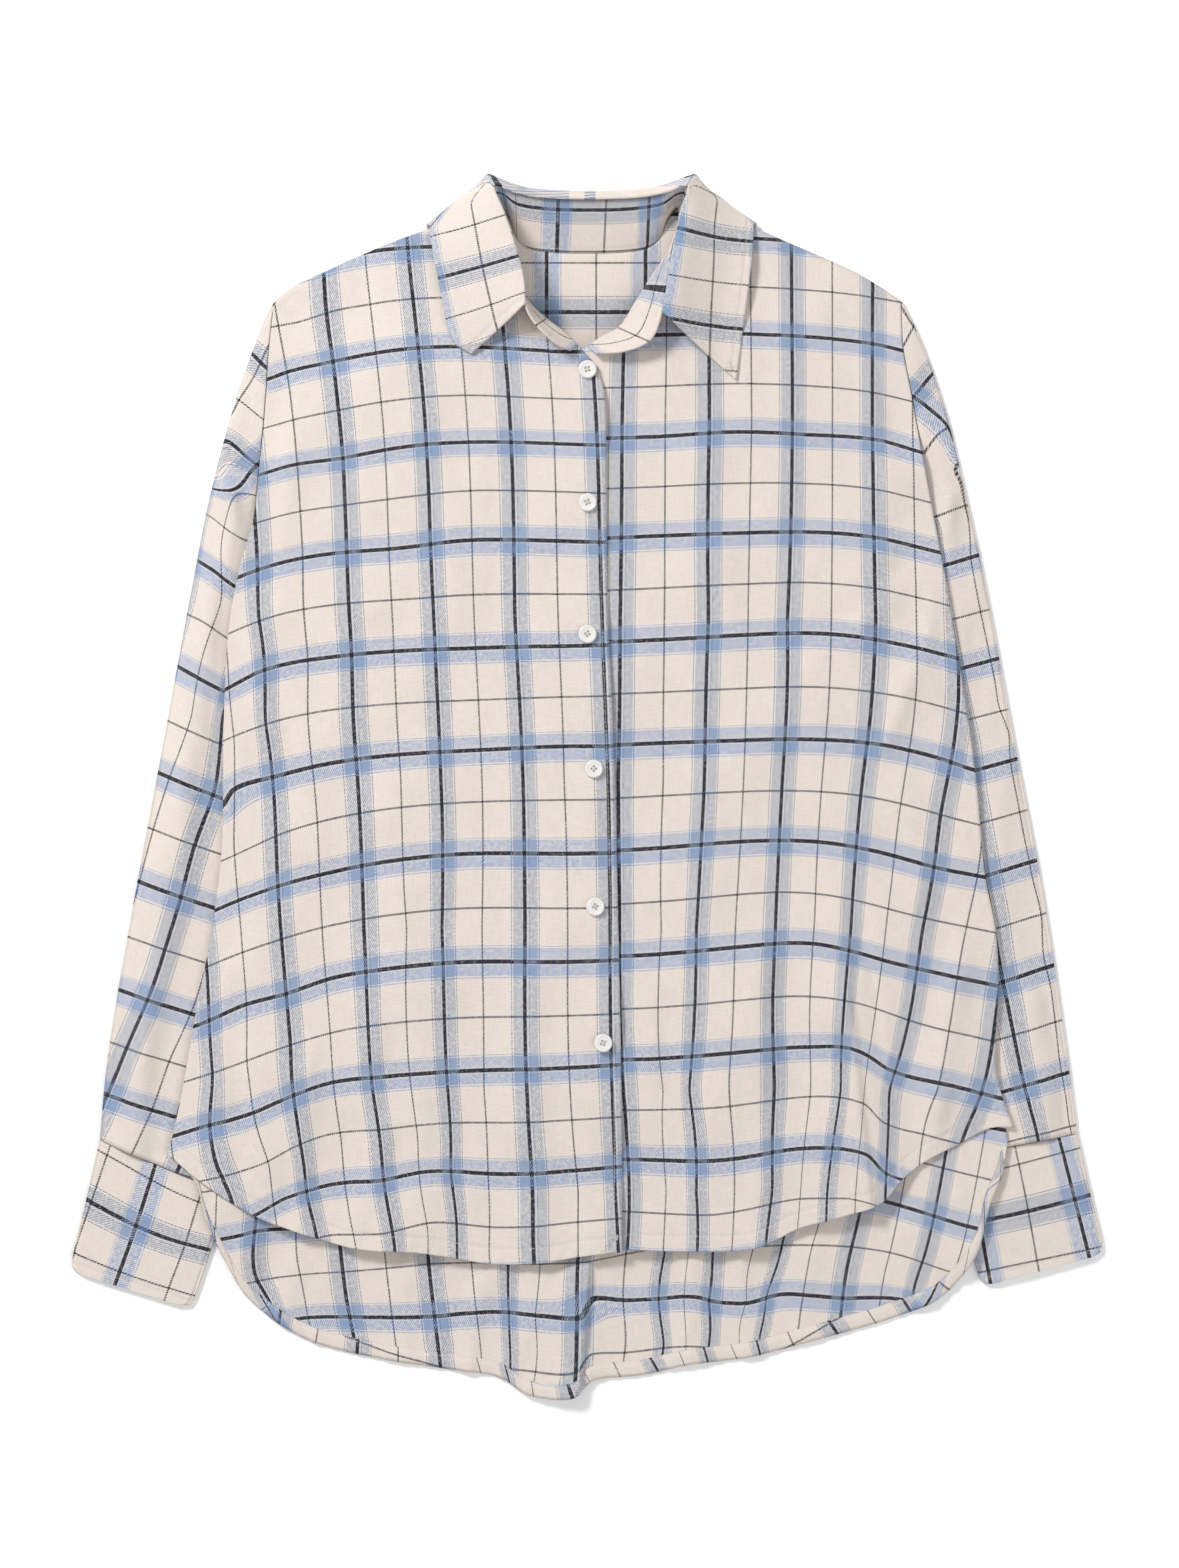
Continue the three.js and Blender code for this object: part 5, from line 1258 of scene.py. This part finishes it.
class SHIRT_OT_buttons(bpy.types.Operator):
    """Build the front buttons with their thread, and the stitched marks"""

    bl_idname = "shirt.buttons"
    bl_label = "Buttons"
    bl_options = {"REGISTER", "UNDO"}

    def execute(self, context):
        """A button is a turned profile with four pits; its thread is two arched bars between them."""
        radius = ready(context).button_diameter / MM / 2
        for number, (x, y) in enumerate(BUTTONS, 1):
            ring = np.linspace(0, 2 * np.pi, 9)
            reach = np.array([[0], [3], [radius]])
            seat = right_front_height(x + reach * np.cos(ring), y + reach * np.sin(ring)).max() + 0.3
            tilt = np.pi / 4 + 0.2 * number
            grid = self.button(radius, tilt)[::-1] + [x, y, seat]
            name = f"button_{number}"
            piece = surface("resin_" + name, grid, grid[..., :2] * MM, around=True, material="pearly_button")
            declare(piece, name)
            bars = [
                tube(self.bar(tilt + cross * np.pi / 2, lay) + [x, y, seat], BUTTON_THREAD)
                for cross in (0, 1) for lay in (-BUTTON_THREAD - 0.01, BUTTON_THREAD + 0.01)
            ]
            declare(join_tubes(f"button_thread_{number}", bars), None)
        bars = []
        for x, y, degrees, length, lays in THREAD_MARKS:
            along = np.array([math.cos(math.radians(degrees)), math.sin(math.radians(degrees))])
            s = np.linspace(-0.5, 0.5, 12)[:, None]
            for lay in lays:
                path = np.array([x, y]) + s * length * along + lay * np.array([-along[1], along[0]])
                bars.append(tube(np.column_stack([path, top_of_cloth(path) + 0.05]), MARK_THREAD))
        declare(join_tubes("stitched_marks", bars), None)
        return {"FINISHED"}

    def button(self, radius, tilt):
        """Points of a button: its rounded profile turned about its axis, four pits eased into its face."""
        profile = spline([(0.01, 0), (radius - 0.5, 0), (radius, 0.55), (radius, 1.7), (radius - 0.6, 2.3),
                          (radius - 1.5, 2.15), (radius - 2.3, 1.75), (0.01, 1.6)], 0.25, 12)
        face = mix(profile[-24], profile[-1], np.linspace(0, 1, 34)[:, None])
        profile = np.vstack([profile[:-24], face])
        turn = np.linspace(0, 2 * np.pi, 96, endpoint=False)
        grid = np.stack([profile[:, :1] * np.cos(turn), profile[:, :1] * np.sin(turn), profile[:, 1:] + 0 * turn], -1)
        top = np.arange(len(profile)) >= len(profile) - len(face)
        for quarter in range(4):
            angle = tilt + quarter * np.pi / 2
            hole = np.hypot(grid[..., 0] - HOLE_OFF * np.cos(angle), grid[..., 1] - HOLE_OFF * np.sin(angle))
            grid[..., 2] -= HOLE_DEPTH * ease((HOLE_RADIUS - hole) / 0.35) * top[:, None]
        return grid

    def bar(self, angle, lay):
        """The path of one thread between opposite holes, arched over the face."""
        s = np.linspace(0, 1, 15)[:, None]
        a, b = (np.array([HOLE_OFF * np.cos(q), HOLE_OFF * np.sin(q), 0.75]) for q in (angle, angle + np.pi))
        path = mix(a, b, s)
        path[:, 2] += 1.25 * np.sin(np.pi * s[:, 0]) ** 0.35
        path[:, :2] += lay * np.array([-np.sin(angle), np.cos(angle)])
        return path


def top_of_cloth(spots):
    """Height in mm of the highest cloth under each of the spots, looked for straight down."""
    bpy.context.view_layer.update()
    graph = bpy.context.evaluated_depsgraph_get()
    heights = []
    for x, y in spots:
        hit, place, *_ = bpy.context.scene.ray_cast(graph, (x * MM, y * MM, 0.2), (0, 0, -1))
        if not hit:
            raise RuntimeError("no cloth lies under a stitched mark: build the fronts and the collar first")
        heights.append(place.z / MM)
    return np.array(heights)


def tube(path, radius, sides=8):
    """Points of a round tube along a path: circle in the plane square to each step."""
    along = np.gradient(path, axis=0)
    along /= np.linalg.norm(along, axis=1, keepdims=True)
    first = np.cross(along, np.array([0.31, 0.52, 0.79]))
    first /= np.linalg.norm(first, axis=1, keepdims=True)
    second = np.cross(along, first)
    turn = np.linspace(0, 2 * np.pi, sides, endpoint=False)[None, :, None]
    return path[:, None] + radius * (first[:, None] * np.cos(turn) + second[:, None] * np.sin(turn))


def join_tubes(name, tubes):
    """One object from several tubes, each end closed with one face."""
    points, faces, start = [], [], 0
    for grid in tubes:
        rows, cols = grid.shape[:2]
        points.append(grid.reshape(-1, 3))
        i, j = np.meshgrid(np.arange(rows - 1), np.arange(cols), indexing="ij")
        k = (j + 1) % cols
        quads = np.stack([i * cols + j, i * cols + k, (i + 1) * cols + k, (i + 1) * cols + j], -1).reshape(-1, 4)
        ring = np.arange(start, start + cols)
        faces += [*(quads + start).tolist(), ring[::-1].tolist(), (ring + (rows - 1) * cols).tolist()]
        start += rows * cols
    mesh = bpy.data.meshes.new(name)
    mesh.from_pydata((np.vstack(points) * MM).tolist(), [], faces)
    index = np.empty(len(mesh.loops), np.int32)
    mesh.loops.foreach_get("vertex_index", index)
    flat = (np.vstack(points)[:, :2] * MM)[index]
    mesh.uv_layers.new(name="cloth").uv.foreach_set("vector", flat.astype(np.float32).ravel())
    mesh.polygons.foreach_set("use_smooth", np.ones(len(mesh.polygons), bool))
    mesh.materials.append(bpy.data.materials["sewing_thread"])
    piece = bpy.data.objects.new(name, mesh)
    bpy.context.collection.objects.link(piece)
    return piece


class SHIRT_OT_stage(bpy.types.Operator):
    """Build the floor, lights and camera"""

    bl_idname = "shirt.stage"
    bl_label = "Stage"
    bl_options = {"REGISTER", "UNDO"}

    def execute(self, context):
        """A pale floor, soft light from above, and the camera straight over the photograph's middle."""
        shirt = context.scene.shirt
        mesh = bpy.data.meshes.new("floor")
        corners = [(x, y, FLOOR_Z) for x, y in ((-30, -30), (30, -30), (30, 30), (-30, 30))]
        mesh.from_pydata(corners, [], [(0, 1, 2, 3)])
        _, shader = new_material("floor")
        fill(shader, {
            "Base Color": shirt.floor, "Emission Color": (1.0, 1.0, 1.0, 1.0), "Emission Strength": 0.1,
            "Roughness": 0.9,
        })
        mesh.materials.append(bpy.data.materials["floor"])
        staged = [bpy.data.objects.new("floor", mesh)]
        for name, place, size, watts, colour in (
            ("key", (-1.7, 1.8, 2.2), 0.7, 78, (1.0, 0.99, 0.98)),
            ("fill", (1.9, -1.3, 2.6), 2.4, 33, (0.98, 0.99, 1.0)),
        ):
            lamp = bpy.data.lights.new(name, "AREA")
            lamp.size, lamp.energy, lamp.color = size, watts, colour
            light = bpy.data.objects.new(name, lamp)
            light.location = place
            x, y, z = place
            light.rotation_euler = (math.atan2(math.hypot(x, y), z), 0, math.atan2(-x, y) + math.pi)
            staged.append(light)
        for item in staged:
            context.collection.objects.link(item)
        world = bpy.data.worlds.new("studio")
        world.use_nodes = True
        fill(world.node_tree.nodes["Background"], {0: (1.0, 1.0, 1.0, 1.0), 1: 0.42})
        context.scene.world = world
        context.scene.view_settings.view_transform = "Standard"
        lens = bpy.data.cameras.new("camera")
        lens.lens, lens.sensor_width, lens.sensor_fit, lens.clip_end = shirt.lens, SENSOR, "AUTO", 50
        camera = bpy.data.objects.new("camera", lens)
        height = PHOTO_SIZE[1] * PHOTO_MM_PER_PIXEL * MM
        middle = to_mm([PHOTO_SIZE[0] / 2, PHOTO_SIZE[1] / 2]) * MM
        camera.location = (middle[0], middle[1], 0.008 + height * shirt.lens / SENSOR)
        context.collection.objects.link(camera)
        context.scene.camera = camera
        return {"FINISHED"}


class SHIRT_PT_panel(bpy.types.Panel):
    """Lists the shirt's builders in the sidebar"""

    bl_idname = "SHIRT_PT_panel"
    bl_label = "Flannel shirt"
    bl_space_type = "VIEW_3D"
    bl_region_type = "UI"
    bl_category = "Shirt"

    def draw(self, context):
        for title in ShirtSettings.__annotations__:
            self.layout.prop(context.scene.shirt, title)
        for builder in BUILDERS:
            self.layout.operator(builder.bl_idname)


BUILDERS = (
    SHIRT_OT_fronts, SHIRT_OT_back, SHIRT_OT_sleeves, SHIRT_OT_cuffs, SHIRT_OT_collar, SHIRT_OT_buttons,
    SHIRT_OT_stage,
)


def register():
    for item in (ShirtSettings, *BUILDERS, SHIRT_PT_panel):
        bpy.utils.register_class(item)
    bpy.types.Scene.shirt = bpy.props.PointerProperty(type=ShirtSettings)


def unregister():
    del bpy.types.Scene.shirt
    for item in (SHIRT_PT_panel, *reversed(BUILDERS), ShirtSettings):
        bpy.utils.unregister_class(item)


def main():
    """Builds the shirt piece by piece."""
    register()
    bpy.ops.shirt.fronts()
    bpy.ops.shirt.back()
    bpy.ops.shirt.sleeves()
    bpy.ops.shirt.cuffs()
    bpy.ops.shirt.collar()
    bpy.ops.shirt.buttons()
    bpy.ops.shirt.stage()


if __name__ == "__main__":
    main()
